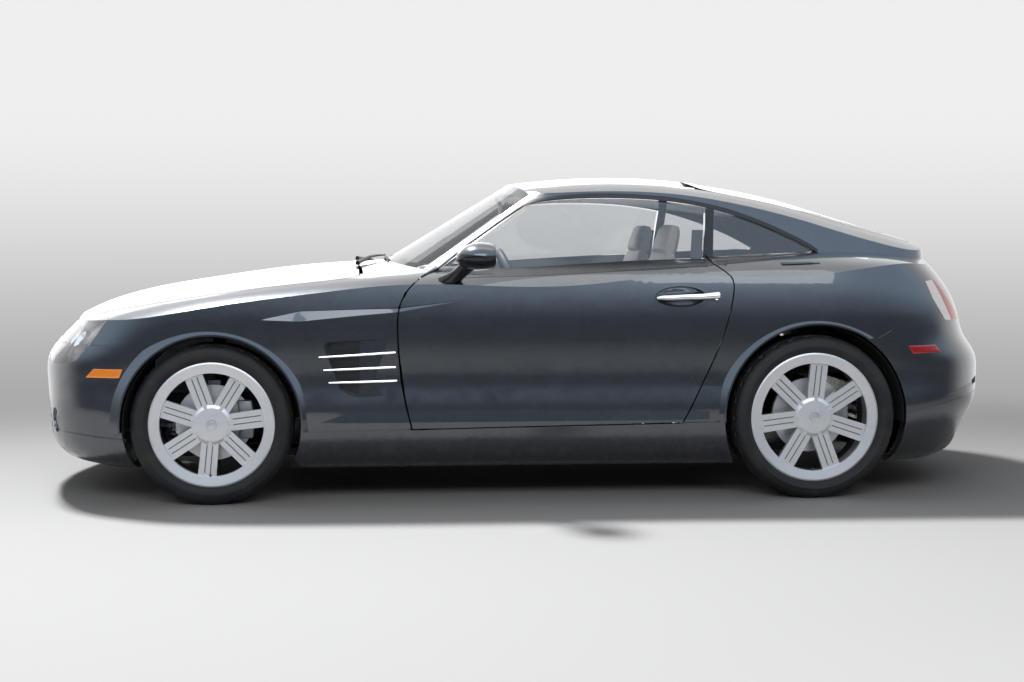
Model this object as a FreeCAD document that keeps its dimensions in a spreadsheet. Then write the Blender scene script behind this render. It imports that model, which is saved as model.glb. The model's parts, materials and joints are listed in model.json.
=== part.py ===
import FreeCAD, Part

import math
import os

import Sketcher
from FreeCAD import Vector

# Two-seat fastback coupe. Nose towards -X, left side at -Y, +Z up, origin on the ground at mid-length.

DRIVING_SIZES = {
    "overall_length": 4058,
    "wheelbase": 2400,
    "front_overhang": 763,
    "front_track": 1493,
    "rear_track": 1502,
    "front_tyre_radius": 317,
    "rear_tyre_radius": 329,
    "front_tyre_width": 225,
    "rear_tyre_width": 255,
    "front_rim_radius": 246,
    "rear_rim_radius": 259,
    "front_arch_radius": 350,
    "rear_arch_radius": 372,
    "arch_flare_width": 42,
    "arch_flare_half_width": 878,
    "side_wall": 66,
    "end_wall": 60,
    "top_wall": 28,
    "roof_wall": 40,
    "shut_gap": 5.5,
    "fit_gap": 0.3,
    "glass_thickness": 5,
    "glass_inset": 3,
    "spoke_count": 7,
    "spoke_width": 66,
    "hub_cap_radius": 78,
    "centre_bore_radius": 33.3,
    "bolt_circle_radius": 56,
    "brake_disc_radius": 150,
    "spoke_groove_width": 4.5,
    "spoke_groove_offset": 11,
    "joint_line_width": 3.2,
    "joint_line_depth": 4,
    "fog_lamp_radius": 50,
    "seat_width": 466,
    "seat_offset": 360,
    "steering_wheel_radius": 186,
    "exhaust_tip_radius": 42,
}

doc = FreeCAD.newDocument("coupe_car")
sheet = doc.addObject("Spreadsheet::Sheet", "sizes")
for row, (alias, amount) in enumerate(DRIVING_SIZES.items(), start=1):
    sheet.set(f"A{row}", alias)
    sheet.set(f"B{row}", str(amount))
    sheet.setAlias(f"B{row}", alias)
doc.recompute()


class Size:
    """A length with its number and the sheet expression that it is worked out by."""

    def __init__(self, value, text):
        self.value = float(value)
        self.text = text

    @staticmethod
    def of(amount):
        """Wrap a plain number, or pass a size through."""
        return amount if isinstance(amount, Size) else Size(amount, repr(amount))

    def _join(self, other, sign, value):
        return Size(value, f"({self.text} {sign} {Size.of(other).text})")

    def __add__(self, other):
        return self._join(other, "+", self.value + Size.of(other).value)

    def __sub__(self, other):
        return self._join(other, "-", self.value - Size.of(other).value)

    def __mul__(self, other):
        return self._join(other, "*", self.value * Size.of(other).value)

    def __truediv__(self, other):
        return self._join(other, "/", self.value / Size.of(other).value)

    def __neg__(self):
        return Size(-self.value, f"(-{self.text})")


def cell(alias):
    """The named driving size as a Size."""
    return Size(sheet.get(alias), f"sizes.{alias}")


def size(alias):
    """The named driving size as a plain number."""
    return float(sheet.get(alias))


NOSE_X = -size("overall_length") / 2
TAIL_X = size("overall_length") / 2
FRONT_AXLE_X = NOSE_X + size("front_overhang")
REAR_AXLE_X = FRONT_AXLE_X + size("wheelbase")
FRONT_WHEEL_Y = size("front_track") / 2
REAR_WHEEL_Y = size("rear_track") / 2
FRONT_AXLE_Z = size("front_tyre_radius")
REAR_AXLE_Z = size("rear_tyre_radius")
SIDE_WALL = size("side_wall")
TOP_WALL = size("top_wall")
END_WALL = size("end_wall")
ROOF_WALL = size("roof_wall")
SHUT_GAP = size("shut_gap")
FIT_GAP = size("fit_gap")
FAR = 3000.0

pieces = []


def keep(obj, label):
    """Name a finished sub-part and put it on the list that is written out."""
    obj.Label = label
    pieces.append(obj)
    return obj


def feature(label, shape, kept=True):
    """A sub-part whose curved shape is set directly, placed in the car's own frame."""
    obj = doc.addObject("Part::Feature", label)
    obj.Shape = shape
    obj.Placement = FreeCAD.Placement()
    if kept:
        keep(obj, label)
    return obj


def mirrored(source, label):
    """The same sub-part on the car's other side."""
    obj = doc.addObject("Part::Mirroring", label)
    obj.Source = source
    obj.Normal = Vector(0, 1, 0)
    return keep(obj, label)


# Outline and prism helpers

def chord_steps(points):
    """How far along its chords each point of a line lies, from zero to one."""
    lengths = [0.0]
    for a, b in zip(points, points[1:]):
        lengths.append(lengths[-1] + math.dist(a, b))
    return [length / lengths[-1] for length in lengths]


def spline_edge(points, steps=None):
    """A smooth edge through points in space, its knots at their chords or at steps that several edges share."""
    curve = Part.BSplineCurve()
    curve.interpolate(Points=points, Parameters=steps or chord_steps(points))
    return curve.toShape()


def both_sides(points):
    """A whole outline from its right half, nose first."""
    return points + [(x, -y) for x, y in reversed(points[1:-1])]


def closed_plan(points, height, pattern):
    """A closed outline at one height, from its right half, its knots spaced as the pattern's."""
    whole = both_sides(pattern)
    corners = [Vector(x, y, height) for x, y in both_sides(points)]
    curve = Part.BSplineCurve()
    curve.interpolate(Points=corners, PeriodicFlag=True, Parameters=chord_steps(whole + whole[:1]))
    return Part.Wire([curve.toShape()])


def across_section(x, half_widths, heights):
    """The points of a section across the car, from its heights at the centre and at half-widths."""
    half = [Vector(x, y, z) for y, z in zip((0,) + half_widths, heights)]
    return [Vector(x, -p.y, p.z) for p in reversed(half[1:])] + half


def outline_face(segments, in_space):
    """A flat face bounded by segments in turn: two points make a line, more make a smooth curve."""
    edges = []
    for i, segment in enumerate(segments):
        ends = [in_space(*point) for point in segment]
        following = in_space(*segments[(i + 1) % len(segments)][0])
        edges.append(Part.makeLine(*ends) if len(ends) == 2 else spline_edge(ends))
        if ends[-1].distanceToPoint(following) > 0.01:
            edges.append(Part.makeLine(ends[-1], following))
    return Part.Face(Part.Wire(edges))


def moved_out(face, gap):
    """A flat face grown by a gap, its offset curves redrawn as plain smooth ones."""
    edges = []
    for edge in face.makeOffset2D(gap).OuterWire.OrderedEdges:
        if edge.Curve.TypeId == "Part::GeomOffsetCurve":
            edge = spline_edge(edge.discretize(14))
        edges.append(edge)
    return Part.Face(Part.Wire(edges))


def as_segments(outline):
    """An outline of plain points is taken as straight runs."""
    if isinstance(outline[0], list):
        return outline
    return [[a, b] for a, b in zip(outline, outline[1:] + outline[:1])]


def side_prism(outline, inner=0.0, outer=-FAR, gap=0.0):
    """A prism across the car from an (x, z) outline in side view, moved out by a gap."""
    face = outline_face(as_segments(outline), lambda x, z: Vector(x, inner, z))
    if gap:
        face = moved_out(face, gap)
    return face.extrude(Vector(0, outer - inner, 0))


def plan_prism(outline, low=-FAR, high=FAR, gap=0.0):
    """A vertical prism from an (x, y) outline in top view, moved out by a gap."""
    face = outline_face(as_segments(outline), lambda x, y: Vector(x, y, low))
    if gap:
        face = moved_out(face, gap)
    return face.extrude(Vector(0, 0, high - low))


def front_prism(outline, x_from, x_to):
    """A prism along the car from a (y, z) outline in front view."""
    face = outline_face(as_segments(outline), lambda y, z: Vector(x_from, y, z))
    return face.extrude(Vector(x_to - x_from, 0, 0))


def left_plan(segments):
    """The left half of a top view outline, given by its right half from the front to the back."""
    return [[(x, -y) for x, y in segment] for segment in segments]


def box(low, high):
    """A box between two corners."""
    return Part.makeBox(high[0] - low[0], high[1] - low[1], high[2] - low[2], Vector(*low))


def across_cylinder(radius, x, z, y_from, y_to):
    """A cylinder along Y."""
    return Part.makeCylinder(radius, abs(y_to - y_from), Vector(x, min(y_from, y_to), z), Vector(0, 1, 0))


# Lower body: level outlines from sill to shoulder, trimmed by the bonnet and shoulder surface

WAIST_OUTLINE = [
    (NOSE_X, 0), (-2003, 300), (-1926, 590), (-1845, 716), (-1735, 796), (-1540, 846),
    (FRONT_AXLE_X, 862), (-700, 856), (0, 852), (600, 858), (REAR_AXLE_X, 870), (1450, 862),
    (1650, 820), (1765, 752), (1862, 640), (1968, 390), (TAIL_X, 0),
]

# Each level: height, how far the nose and the tail stand back, how far the sides stand in
BODY_LEVELS = [
    (135, 190, 170, 95), (160, 90, 125, 52), (200, 36, 96, 24), (280, 16, 58, 5),
    (375, 11, 13, -3), (470, 4, 0.6, 5), (560, 11, 13, 3), (630, 62, 64, -1),
    (720, 150, 98, -3), (820, 215, 142, 4), (900, 260, 205, 18), (980, 290, 290, 52), (1080, 320, 380, 110),
]

# Bonnet and shoulder surface: station, then its height at the centre and at three half-widths
SHOULDER_HALF_WIDTHS = (400, 700, 850)
SHOULDER_PATTERN = (962, 954, 926, 850, 660)
SHOULDER_STATIONS = [
    (-2100, 590, 566, 490, 400), (-1960, 668, 650, 590, 530), (-1840, 746, 728, 676, 626),
    (-1665, 812, 797, 748, 700), (-1450, 856, 843, 797, 750), (FRONT_AXLE_X, 884, 872, 829, 786),
    (-1000, 920, 907, 864, 820), (-700, 943, 931, 893, 850), (-400, 956, 946, 912, 862),
    (0, 962, 954, 932, 850), (423, 972, 966, 952, 880), (793, 982, 976, 965, 893),
    (REAR_AXLE_X, 994, 988, 970, 903), (1467, 998, 990, 962, 926), (1650, 985, 972, 932, 900),
    (1800, 940, 924, 880, 845), (1950, 850, 834, 790, 745), (2100, 740, 720, 650, 580),
]


def stretched(points, nose_back, tail_back, side_in, wall):
    """The waist outline at another level: ends drawn in beyond the axles, sides drawn in everywhere."""
    out = []
    for x, y in points:
        if x < FRONT_AXLE_X:
            reach = NOSE_X - FRONT_AXLE_X
            x = FRONT_AXLE_X + (x - FRONT_AXLE_X) * (1 + (nose_back + wall) / reach)
        elif x > REAR_AXLE_X:
            reach = TAIL_X - REAR_AXLE_X
            x = REAR_AXLE_X + (x - REAR_AXLE_X) * (1 - (tail_back + wall) / reach)
        out.append((x, y * (1 - (side_in + wall) / 860)))
    return out


def lower_body(side_wall, top_wall, end_wall, floor_wall):
    """The body below the windows, drawn in by its walls."""
    outlines = []
    for height, nose_back, tail_back, side_in in BODY_LEVELS:
        level = stretched(WAIST_OUTLINE, nose_back, tail_back, side_in, side_wall)
        outlines.append(closed_plan(level, height, WAIST_OUTLINE))
    stack = Part.makeLoft(outlines, True, False)
    sections = []
    half_widths = SHOULDER_HALF_WIDTHS + (1000,)
    steps = chord_steps(across_section(0, half_widths, SHOULDER_PATTERN))
    for x, *heights in SHOULDER_STATIONS:
        levels = [z - top_wall for z in heights] + [heights[-1] - top_wall - 190]
        whole = across_section(x, half_widths, levels)
        top = spline_edge(whole, steps)
        low_right, low_left = Vector(x, 1000, -100), Vector(x, -1000, -100)
        sections.append(Part.Wire([
            top, Part.makeLine(whole[-1], low_right), Part.makeLine(low_right, low_left),
            Part.makeLine(low_left, whole[0]),
        ]))
    trim = Part.makeLoft(sections, True, False)
    body = stack.common(trim)
    if floor_wall:
        body = body.cut(box((-FAR, -FAR, -FAR), (FAR, FAR, BODY_LEVELS[0][0] + floor_wall)))
    return body


# Greenhouse: outline at the belt and at the roof, trimmed by the roof surface

BELT_LEVEL = 880
FLOOR_TOP = BODY_LEVELS[0][0] + 30
ROOF_LEVEL = 1320
BELT_OUTLINE = [
    (-700, 0), (-664, 300), (-556, 560), (-430, 690), (-240, 733), (0, 742), (400, 736),
    (800, 704), (1150, 640), (1500, 545), (1680, 478), (1750, 330), (1772, 0),
]
ROOF_OUTLINE = [
    (30, 0), (46, 250), (104, 440), (190, 520), (310, 546), (400, 552), (560, 550),
    (800, 524), (1150, 456), (1500, 372), (1680, 318), (1750, 220), (1772, 0),
]
ROOF_HALF_WIDTHS = (300, 550, 800)
ROOF_PATTERN = (1290, 1278, 1230, 1118)
ROOF_STATIONS = [
    (-900, 1160, 1142, 1090, 960), (-300, 1246, 1233, 1186, 1075), (0, 1284, 1272, 1226, 1120),
    (200, 1302, 1291, 1245, 1145), (380, 1307, 1297, 1250, 1150), (620, 1299, 1287, 1236, 1128),
    (858, 1271, 1257, 1196, 1080), (1104, 1222, 1205, 1132, 1006), (1288, 1170, 1150, 1070, 940),
    (1480, 1112, 1090, 1006, 880), (1660, 1058, 1037, 956, 830), (1850, 985, 965, 890, 770),
]


def greenhouse(wall, roof_wall):
    """The body above the belt, drawn in by its walls."""
    outlines = []
    for level, outline in ((BELT_LEVEL, BELT_OUTLINE), (ROOF_LEVEL, ROOF_OUTLINE)):
        drawn_in = []
        for x, y in outline:
            ahead = max(0.0, min(1.0, (700 - x) / 1000))
            behind = max(0.0, min(1.0, (x - 1150) / 500))
            along = 1.6 * wall * ahead - wall * behind
            drawn_in.append((x + along, y * (1 - wall / 700)))
        outlines.append(closed_plan(drawn_in, level, drawn_in))
    stack = Part.makeLoft(outlines, True, True)
    sections = []
    steps = chord_steps(across_section(0, ROOF_HALF_WIDTHS, ROOF_PATTERN))
    for x, *heights in ROOF_STATIONS:
        whole = across_section(x, ROOF_HALF_WIDTHS, [z - roof_wall for z in heights])
        low_right, low_left = Vector(x, 800, 500), Vector(x, -800, 500)
        sections.append(Part.Wire([
            spline_edge(whole, steps), Part.makeLine(whole[-1], low_right), Part.makeLine(low_right, low_left),
            Part.makeLine(low_left, whole[0]),
        ]))
    return stack.common(Part.makeLoft(sections, True, False))


left_half = box((-FAR, -FAR, -FAR), (FAR, 0, FAR))


def left_side(shape):
    """The half of a shape on the car's left."""
    return shape.common(left_half)


outer_lower = left_side(lower_body(0, 0, 0, 0))
inner_lower = left_side(lower_body(SIDE_WALL, TOP_WALL, END_WALL, 30))
outer_green = left_side(greenhouse(0, 0))
inner_green = left_side(greenhouse(ROOF_WALL, ROOF_WALL))

# Side relief, made before the side is split: sill ledge, wing crease, vent and handle recesses, joint lines

LEDGE = [(-850, 324, 324), (-738, 322, 366), (-100, 322, 367), (640, 324, 360), (704, 326, 358)]
LEDGE_FOOT_Z = 298
LEDGE_DEPTH = 5.5
CREASE = [(-1066, 728, 732), (-917, 721, 764), (-534, 757, 776), (-300, 798, 801)]
CREASE_DEPTH = 6.5
VENT_OUTLINE = [[(-828, 626), (-815, 638), (-790, 644), (-700, 650), (-560, 660)],
                [(-560, 660), (-575, 426)],
                [(-575, 426), (-650, 425), (-722, 426), (-746, 434), (-762, 452)]]
VENT_FLOOR = [(-900, -1000), (-900, -818), (-760, -829), (-548, -860), (-548, -1000)]
HANDLE_CENTRE = (586, 815)
HANDLE_RADII = (102, 19, 43)


def skin_y(x, z):
    """How far out the body side stands at (x, z)."""
    ray = Part.makeLine(Vector(x, -1000, z), Vector(x, -500, z))
    return ray.common(outer_lower).BoundBox.YMin


def ruled_bar(sections):
    """A solid through flat closed sections given as lists of points."""
    wires = [Part.makePolygon(points + points[:1]) for points in sections]
    return Part.makeLoft(wires, True, True)


def ledge_bar():
    """The raised ledge above the sill, which faces up."""
    sections = []
    for x, low, high in LEDGE:
        top, edge = skin_y(x, high), skin_y(x, low)
        reach = LEDGE_DEPTH * min(1.0, (high - low) / 40 + 0.05)
        corners = [(top + 0.2, high), (edge - reach, low), (edge - reach + 1, LEDGE_FOOT_Z), (-820, LEDGE_FOOT_Z),
                   (-820, high)]
        sections.append([Vector(x, y, z) for y, z in corners])
    return ruled_bar(sections)


def crease_cut():
    """The tapering hollow along the wing, deepest under its upper edge."""
    sections = []
    for x, low, high in CREASE:
        depth = CREASE_DEPTH * min(1.0, (high - low) / 18)
        corners = [(skin_y(x, low) - 0.4, low), (skin_y(x, high) + depth, high), (-900, high + 1), (-900, low)]
        sections.append([Vector(x, y, z) for y, z in corners])
    return ruled_bar(sections)


def handle_cut():
    """The oval dish behind the door handle."""
    x, z = HANDLE_CENTRE
    stretch = FreeCAD.Matrix()
    stretch.scale(*HANDLE_RADII)
    dish = Part.makeSphere(1.0).transformGeometry(stretch)
    dish.translate(Vector(x, skin_y(x, z), z))
    return dish


# Joint lines between fixed panels, and the pressed lines of both bumpers, as (x, z) runs in side view

JOINT_LINES = [
    [(-2200, 629), (-1480, 629)],
    [(-902, 287.6), (-479, 294)],
    [(594, 313), (800, 316)],
    [(650, 457), (800, 459)],
    [(1380, 647), (1392, 649), (1447, 680), (1679, 708), (2200, 722)],
    [(1500, 344), (1540, 351), (1714, 379), (1787, 395), (2200, 420)],
    [(-2200, 282), (-1823, 278), (-1600, 261)],
]
BUMPER_SLIT = [(1680, 402), (1890, 436), (2200, 448), (2200, 470), (1890, 462)]


def joint_line(points):
    """A narrow upright-sided run through the left side along a line in side view."""
    half = size("joint_line_width") / 2
    upper = [(x, z + half) for x, z in points]
    lower = [(x, z - half) for x, z in reversed(points)]
    return side_prism(upper + lower, inner=-300)


def fog_recess():
    """The round pocket of the fog lamp, low in the front bumper."""
    return Part.makeCylinder(size("fog_lamp_radius"), 400, Vector(-2200, -590, 316), Vector(1, 0, 0))


vent_cut = side_prism(VENT_OUTLINE, inner=-780).common(plan_prism(VENT_FLOOR, low=300, high=800))
under_skin = left_side(lower_body(size("joint_line_depth"), size("joint_line_depth"), size("joint_line_depth"), 0))
deep_skin = left_side(lower_body(14, 14, 14, 0))
grooves = [joint_line(points).cut(under_skin) for points in JOINT_LINES]
grooves += [side_prism(BUMPER_SLIT, inner=-420).cut(deep_skin), fog_recess().cut(deep_skin)]
outer_lower = outer_lower.fuse(ledge_bar()).cut([crease_cut(), vent_cut, handle_cut()] + grooves)

# Wheel arches: round openings with a raised flare round each

FRONT_ARCH = (FRONT_AXLE_X, FRONT_AXLE_Z, size("front_arch_radius"))
REAR_ARCH = (REAR_AXLE_X + 6, REAR_AXLE_Z, size("rear_arch_radius"))
ARCH_DEPTH = 400
FLARE_ROOT_Y = 846
FLARE_FOOT_Z = 290


def arch_opening(arch, inner_y=ARCH_DEPTH):
    """The round space over a wheel, from inside the body outwards."""
    x, z, radius = arch
    return across_cylinder(radius, x, z, -1000, -inner_y)


def flare_ring(arch, lip_y):
    """A conical lip that stands out of the body side round the opening."""
    x, z, radius = arch
    outer = radius + size("arch_flare_width")
    profile = [(radius, 806), (radius, lip_y), (radius + 7, lip_y), (outer, FLARE_ROOT_Y), (outer, 806)]
    corners = [Vector(x, -y, z + r) for r, y in profile]
    face = Part.Face(Part.makePolygon(corners + corners[:1]))
    ring = face.revolve(Vector(x, 0, z), Vector(0, 1, 0), 360)
    return ring.common(box((-FAR, -FAR, FLARE_FOOT_Z), (FAR, 0, FAR)))


front_arch = arch_opening(FRONT_ARCH)
rear_arch = arch_opening(REAR_ARCH)
FLARE_Y = size("arch_flare_half_width")
front_flare = flare_ring(FRONT_ARCH, FLARE_Y - 4)
rear_flare = flare_ring(REAR_ARCH, FLARE_Y + 5)

lower_shell = outer_lower.cut([inner_lower, outer_green, front_arch, rear_arch])
green_shell = outer_green.cut(inner_green)
FLANK_Y = 560

# Shut lines in side view as (x, z) points, and in top view as (x, y) points

DOOR_FRONT = [(-384, 909), (-446, 886), (-497, 838), (-526, 778), (-535, 700), (-530, 600), (-518, 487),
              (-500, 384), (-479, 296)]
DOOR_REAR = [(594, 314), (622, 362), (664, 447), (708, 540), (752, 648), (785, 765), (797, 830),
             (795, 880), (770, 912), (716, 964)]
BELT_LINE = [(716, 964), (477, 957), (253, 944), (30, 930), (-158, 921), (-384, 909)]
SILL_TOP = [(-1000, 286), (-479, 294), (594, 311.5), (900, 317)]
BUMPER_SPLIT_Z = 629
LAMP_REAR = [(-1800, 566), (-1742, BUMPER_SPLIT_Z), (-1665, 740), (-1665, 900)]
LAMP_LOW = [(-2200, 548), (-1870, 548)]
REAR_SPLIT = [(1300, 640), (1392, 649), (1447, 680), (1679, 708), (2200, 722)]

DOOR_OUTLINE = [DOOR_FRONT, [DOOR_FRONT[-1], DOOR_REAR[0]], DOOR_REAR, BELT_LINE]

BONNET_LEFT = left_plan([
    [(-712, 0), (-704, 300), (-692, 560), (-690, 640)],
    [(-690, 640), (-705, 692), (-760, 714), (-1000, 724), (FRONT_AXLE_X, 720), (-1500, 692), (-1700, 622),
     (-1795, 535), (-1848, 400), (-1870, 200), (-1878, 0)],
])
TAILGATE_LEFT = left_plan([
    [(700, 0), (706, 200), (724, 350), (756, 418), (820, 440), (1000, 428), (1300, 380), (1600, 318), (1760, 296)],
    [(1760, 296), (1860, 260)],
    [(1860, 260), (1860, 0)],
])
TAILGATE_LOW = 946
SPOILER_SLOT = left_plan([[(1728, 0), (1722, 120), (1700, 240), (1672, 292)], [(1672, 292), (1682, 297)],
                          [(1682, 297), (1712, 244), (1735, 122), (1742, 0)]])

door_block = side_prism(DOOR_OUTLINE, inner=-FLANK_Y)
door_space = side_prism(DOOR_OUTLINE, inner=-FLANK_Y, gap=SHUT_GAP)
bonnet_block = plan_prism(BONNET_LEFT, low=BUMPER_SPLIT_Z, high=1100)
bonnet_space = plan_prism(BONNET_LEFT, low=BUMPER_SPLIT_Z, high=1100, gap=SHUT_GAP)
tailgate_block = plan_prism(TAILGATE_LEFT, low=TAILGATE_LOW, high=1400)
tailgate_space = plan_prism(TAILGATE_LEFT, low=TAILGATE_LOW - SHUT_GAP, high=1400, gap=SHUT_GAP)

# Window openings in side view

DOOR_WINDOW_TOP = [(-2, 1186), (90, 1199), (250, 1209), (420, 1208), (560, 1199), (735, 1172)]
DOOR_WINDOW = [DOOR_WINDOW_TOP, [DOOR_WINDOW_TOP[-1], BELT_LINE[0]], BELT_LINE,
               [BELT_LINE[-1], DOOR_WINDOW_TOP[0]]]
QUARTER_WINDOW = [[(772, 1163), (893, 1127), (1010, 1083), (1120, 1032), (1192, 992)],
                  [(1180, 986), (928, 973), (752, 966)]]
door_window = side_prism(DOOR_WINDOW, inner=-300)
quarter_window = side_prism(QUARTER_WINDOW, inner=-300)

# Hinge lines, and the round clearance that each lid's hinge edge needs as it turns

DOOR_HINGE = (-455, -838)
DOOR_SKIN_Y = -860
BONNET_HINGE = (-770, 880)
BONNET_EDGE = (-700, 943)
COWL_EDGE = (-690, 945)
TAILGATE_HINGE = (770, 1222)
HINGE_PIN_RADIUS = 6
TAILGATE_EDGE = (700, 1291)
TAILGATE_CORNER_RADIUS = 60


def door_barrel(gap):
    """The round path of the door's front edge about its hinge, grown by a gap."""
    x, y = DOOR_HINGE
    path = [(math.hypot(x - edge_x, y - DOOR_SKIN_Y) + gap, z) for edge_x, z in DOOR_FRONT if edge_x < x - 15]
    profile = [(0, path[0][1]), *path, (path[-1][0], path[-1][1] - gap), (0, path[-1][1] - gap)]
    corners = [Vector(x + r, y, z) for r, z in profile]
    face = Part.Face(Part.makePolygon(corners + corners[:1]))
    return face.revolve(Vector(x, y, 0), Vector(0, 0, 1), 360)


def edge_roll(hinge, edge, half_width):
    """The space that a lid's hinge edge turns through."""
    radius = math.hypot(hinge[0] - edge[0], hinge[1] - edge[1]) + SHUT_GAP
    return across_cylinder(radius, *hinge, -half_width, 0)


door_relief = door_barrel(SHUT_GAP)
door_nose_trim = box((DOOR_HINGE[0] - 150, DOOR_HINGE[1] - 12, 280), (DOOR_HINGE[0], -FLANK_Y, 836))
door_nose_trim = door_nose_trim.cut(door_barrel(-4))
bonnet_relief = edge_roll(BONNET_HINGE, BONNET_EDGE, 650)
cowl_relief = edge_roll(BONNET_HINGE, COWL_EDGE, 740)
tailgate_relief = edge_roll(TAILGATE_HINGE, TAILGATE_EDGE, 420)
corner_relief = across_cylinder(TAILGATE_CORNER_RADIUS, *TAILGATE_HINGE, -445, 0)

# Body panels of the left side

sill_block = side_prism([(-902, 100)] + SILL_TOP + [(900, 100)], inner=-FLANK_Y)
front_low = box((-FAR, -FAR, -FAR), (FRONT_AXLE_X - 250, 0, BUMPER_SPLIT_Z))
rear_block = side_prism([(REAR_AXLE_X + 200, -200)] + REAR_SPLIT + [(2200, -200)])
lamp_block = side_prism([*LAMP_LOW, *LAMP_REAR, (-2200, 900)], inner=-440)
fender_block = box((-1762, -FAR, 100), (-380, -FLANK_Y, 1000))
quarter_block = box((590, -FAR, 100), (2200, 0, 1100))

nose_block = box((-FAR, -440, BUMPER_SPLIT_Z), (-1742, 0, 800))
bumper_block = front_low.fuse(nose_block)

bonnet_half = lower_shell.common(bonnet_block)
tailgate_lower = lower_shell.common(tailgate_block)
rest = lower_shell.cut([bonnet_space, tailgate_space])
door_lower = rest.common(door_block)
rest = rest.cut(door_space)
headlamp_left = rest.common(lamp_block)
rest = rest.cut(lamp_block)
front_bumper_half = rest.common(bumper_block)
rest = rest.cut(bumper_block)
rear_bumper_half = rest.common(rear_block)
rest = rest.cut(rear_block)
sill_left = rest.common(sill_block).cut(door_relief)
rest = rest.cut(sill_block)
floor_half, quarter_left, fender_left = sorted(rest.Solids, key=lambda s: (s.BoundBox.ZMax, -s.BoundBox.XMax))


def both_halves(half):
    """A piece across the centreline from its left half."""
    return half.fuse(half.mirror(Vector(0, 0, 0), Vector(0, 1, 0))).removeSplitter()


def wheel_liner(arch, inner_y):
    """The upper half of a thin housing over a wheel, from the panel inwards."""
    x, z, radius = arch
    ring = across_cylinder(radius + 6, x, z, -812, -inner_y).cut(across_cylinder(radius, x, z, -FAR, 0))
    return ring.common(box((x - 2 * radius, -FAR, z + 20), (x + 2 * radius, 0, FAR)))


def single(shape):
    """The one solid that a cut piece is made of."""
    solids = sorted(shape.Solids, key=lambda s: -s.Volume)
    return solids[0]


# Front end: grille, lower intake and headlamps

grille_hole = front_prism([(-425, 552), (-412, 662), (0, 668), (0, 552)], -2100, -1800)
intake_hole = front_prism([(-480, 232), (-508, 320), (-462, 392), (0, 392), (0, 232)], -2100, -1800)
nose_shell = outer_lower.cut(inner_lower).common(box((-2100, -600, 200), (-1800, 0, 700)))


def barred(opening, low, high, count, plate_x):
    """Level bars across an opening, joined by a plate behind them."""
    pitch = (high - low) / count
    bars = []
    for i in range(count):
        z = low + (i + 0.5) * pitch
        bars.append(box((-2100, -600, z - 4), (plate_x + 4, 0, z + 4)))
    bars_in = nose_shell.common(opening).common(bars[0].multiFuse(bars[1:]))
    deep = bars[0].multiFuse(bars[1:]).common(inner_lower).common(opening)
    plate = box((plate_x, -640, low), (plate_x + 6, 0, high)).common(opening)
    return both_halves(bars_in.fuse([deep, plate]))


grille = barred(grille_hole, 556, 662, 4, -1893)
lower_grille = barred(intake_hole, 236, 388, 5, -1880)
TOW_EYE_RADIUS = 8
EXHAUST_Y = 56
EXHAUST_Z = 300
FRONT_TOW_EYE = (-300, 470)
REAR_TOW_EYE = (-360, 470)


def along_cylinder(radius, y, z, x_from, x_to):
    """A cylinder along the car."""
    return Part.makeCylinder(radius, x_to - x_from, Vector(x_from, y, z), Vector(1, 0, 0))


front_liner = wheel_liner(FRONT_ARCH, 535)
front_rim = front_flare.fuse(front_liner)
front_bumper = single(front_bumper_half.fuse(front_rim.common(front_low)).cut([grille_hole, intake_hole]))
front_bumper = both_halves(front_bumper)
front_bumper = front_bumper.cut(along_cylinder(TOW_EYE_RADIUS, *FRONT_TOW_EYE, -2200, -1800))
headlamp_left = single(headlamp_left)
fender_left = single(fender_left.fuse(front_rim.common(fender_block).cut(front_low)))
fender_left = single(fender_left.cut([door_relief, bonnet_relief]))

# Rear end: tail lamps, bumper

TAIL_LAMP = [(1610, 872), (1668, 876), (1730, 806), (1800, 729), (1850, 700), (1850, 660), (1700, 716),
             (1640, 800)]
lamp_space = side_prism(TAIL_LAMP, inner=-470)
tail_lamp_left = single(quarter_left.common(lamp_space))
quarter_left = single(quarter_left.cut(lamp_space))
rear_liner = wheel_liner(REAR_ARCH, 560).common(quarter_block).cut(rear_bumper_half)
rear_lip = rear_flare.common(quarter_block).cut([rear_block, sill_block])
quarter_left = single(quarter_left.fuse([rear_lip, rear_liner]))
rear_bumper = both_halves(single(rear_bumper_half))
rear_bumper = rear_bumper.cut(along_cylinder(TOW_EYE_RADIUS, *REAR_TOW_EYE, 1700, 2200))

# Greenhouse: pillars and roof, glass, tailgate

WINDSCREEN_LEFT = left_plan([
    [(-650, 0), (-600, 330), (-510, 545), (-440, 628)],
    [(-440, 628), (-300, 596), (-150, 562), (10, 524)],
    [(10, 524), (-20, 400), (-46, 200), (-52, 0)],
])
REAR_WINDOW_LEFT = left_plan([
    [(748, 0), (752, 200), (770, 330), (800, 372), (860, 384), (1000, 374), (1300, 326), (1560, 270),
     (1600, 230), (1608, 120), (1610, 0)],
])
windscreen_block = plan_prism(WINDSCREEN_LEFT, low=850, high=1400)
rear_window_block = plan_prism(REAR_WINDOW_LEFT, low=TAILGATE_LOW + 20, high=1400)
glass_out = left_side(greenhouse(size("glass_inset"), size("glass_inset")))
glass_depth = size("glass_inset") + size("glass_thickness")
glass_layer = glass_out.cut(left_side(greenhouse(glass_depth, glass_depth)))

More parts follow.
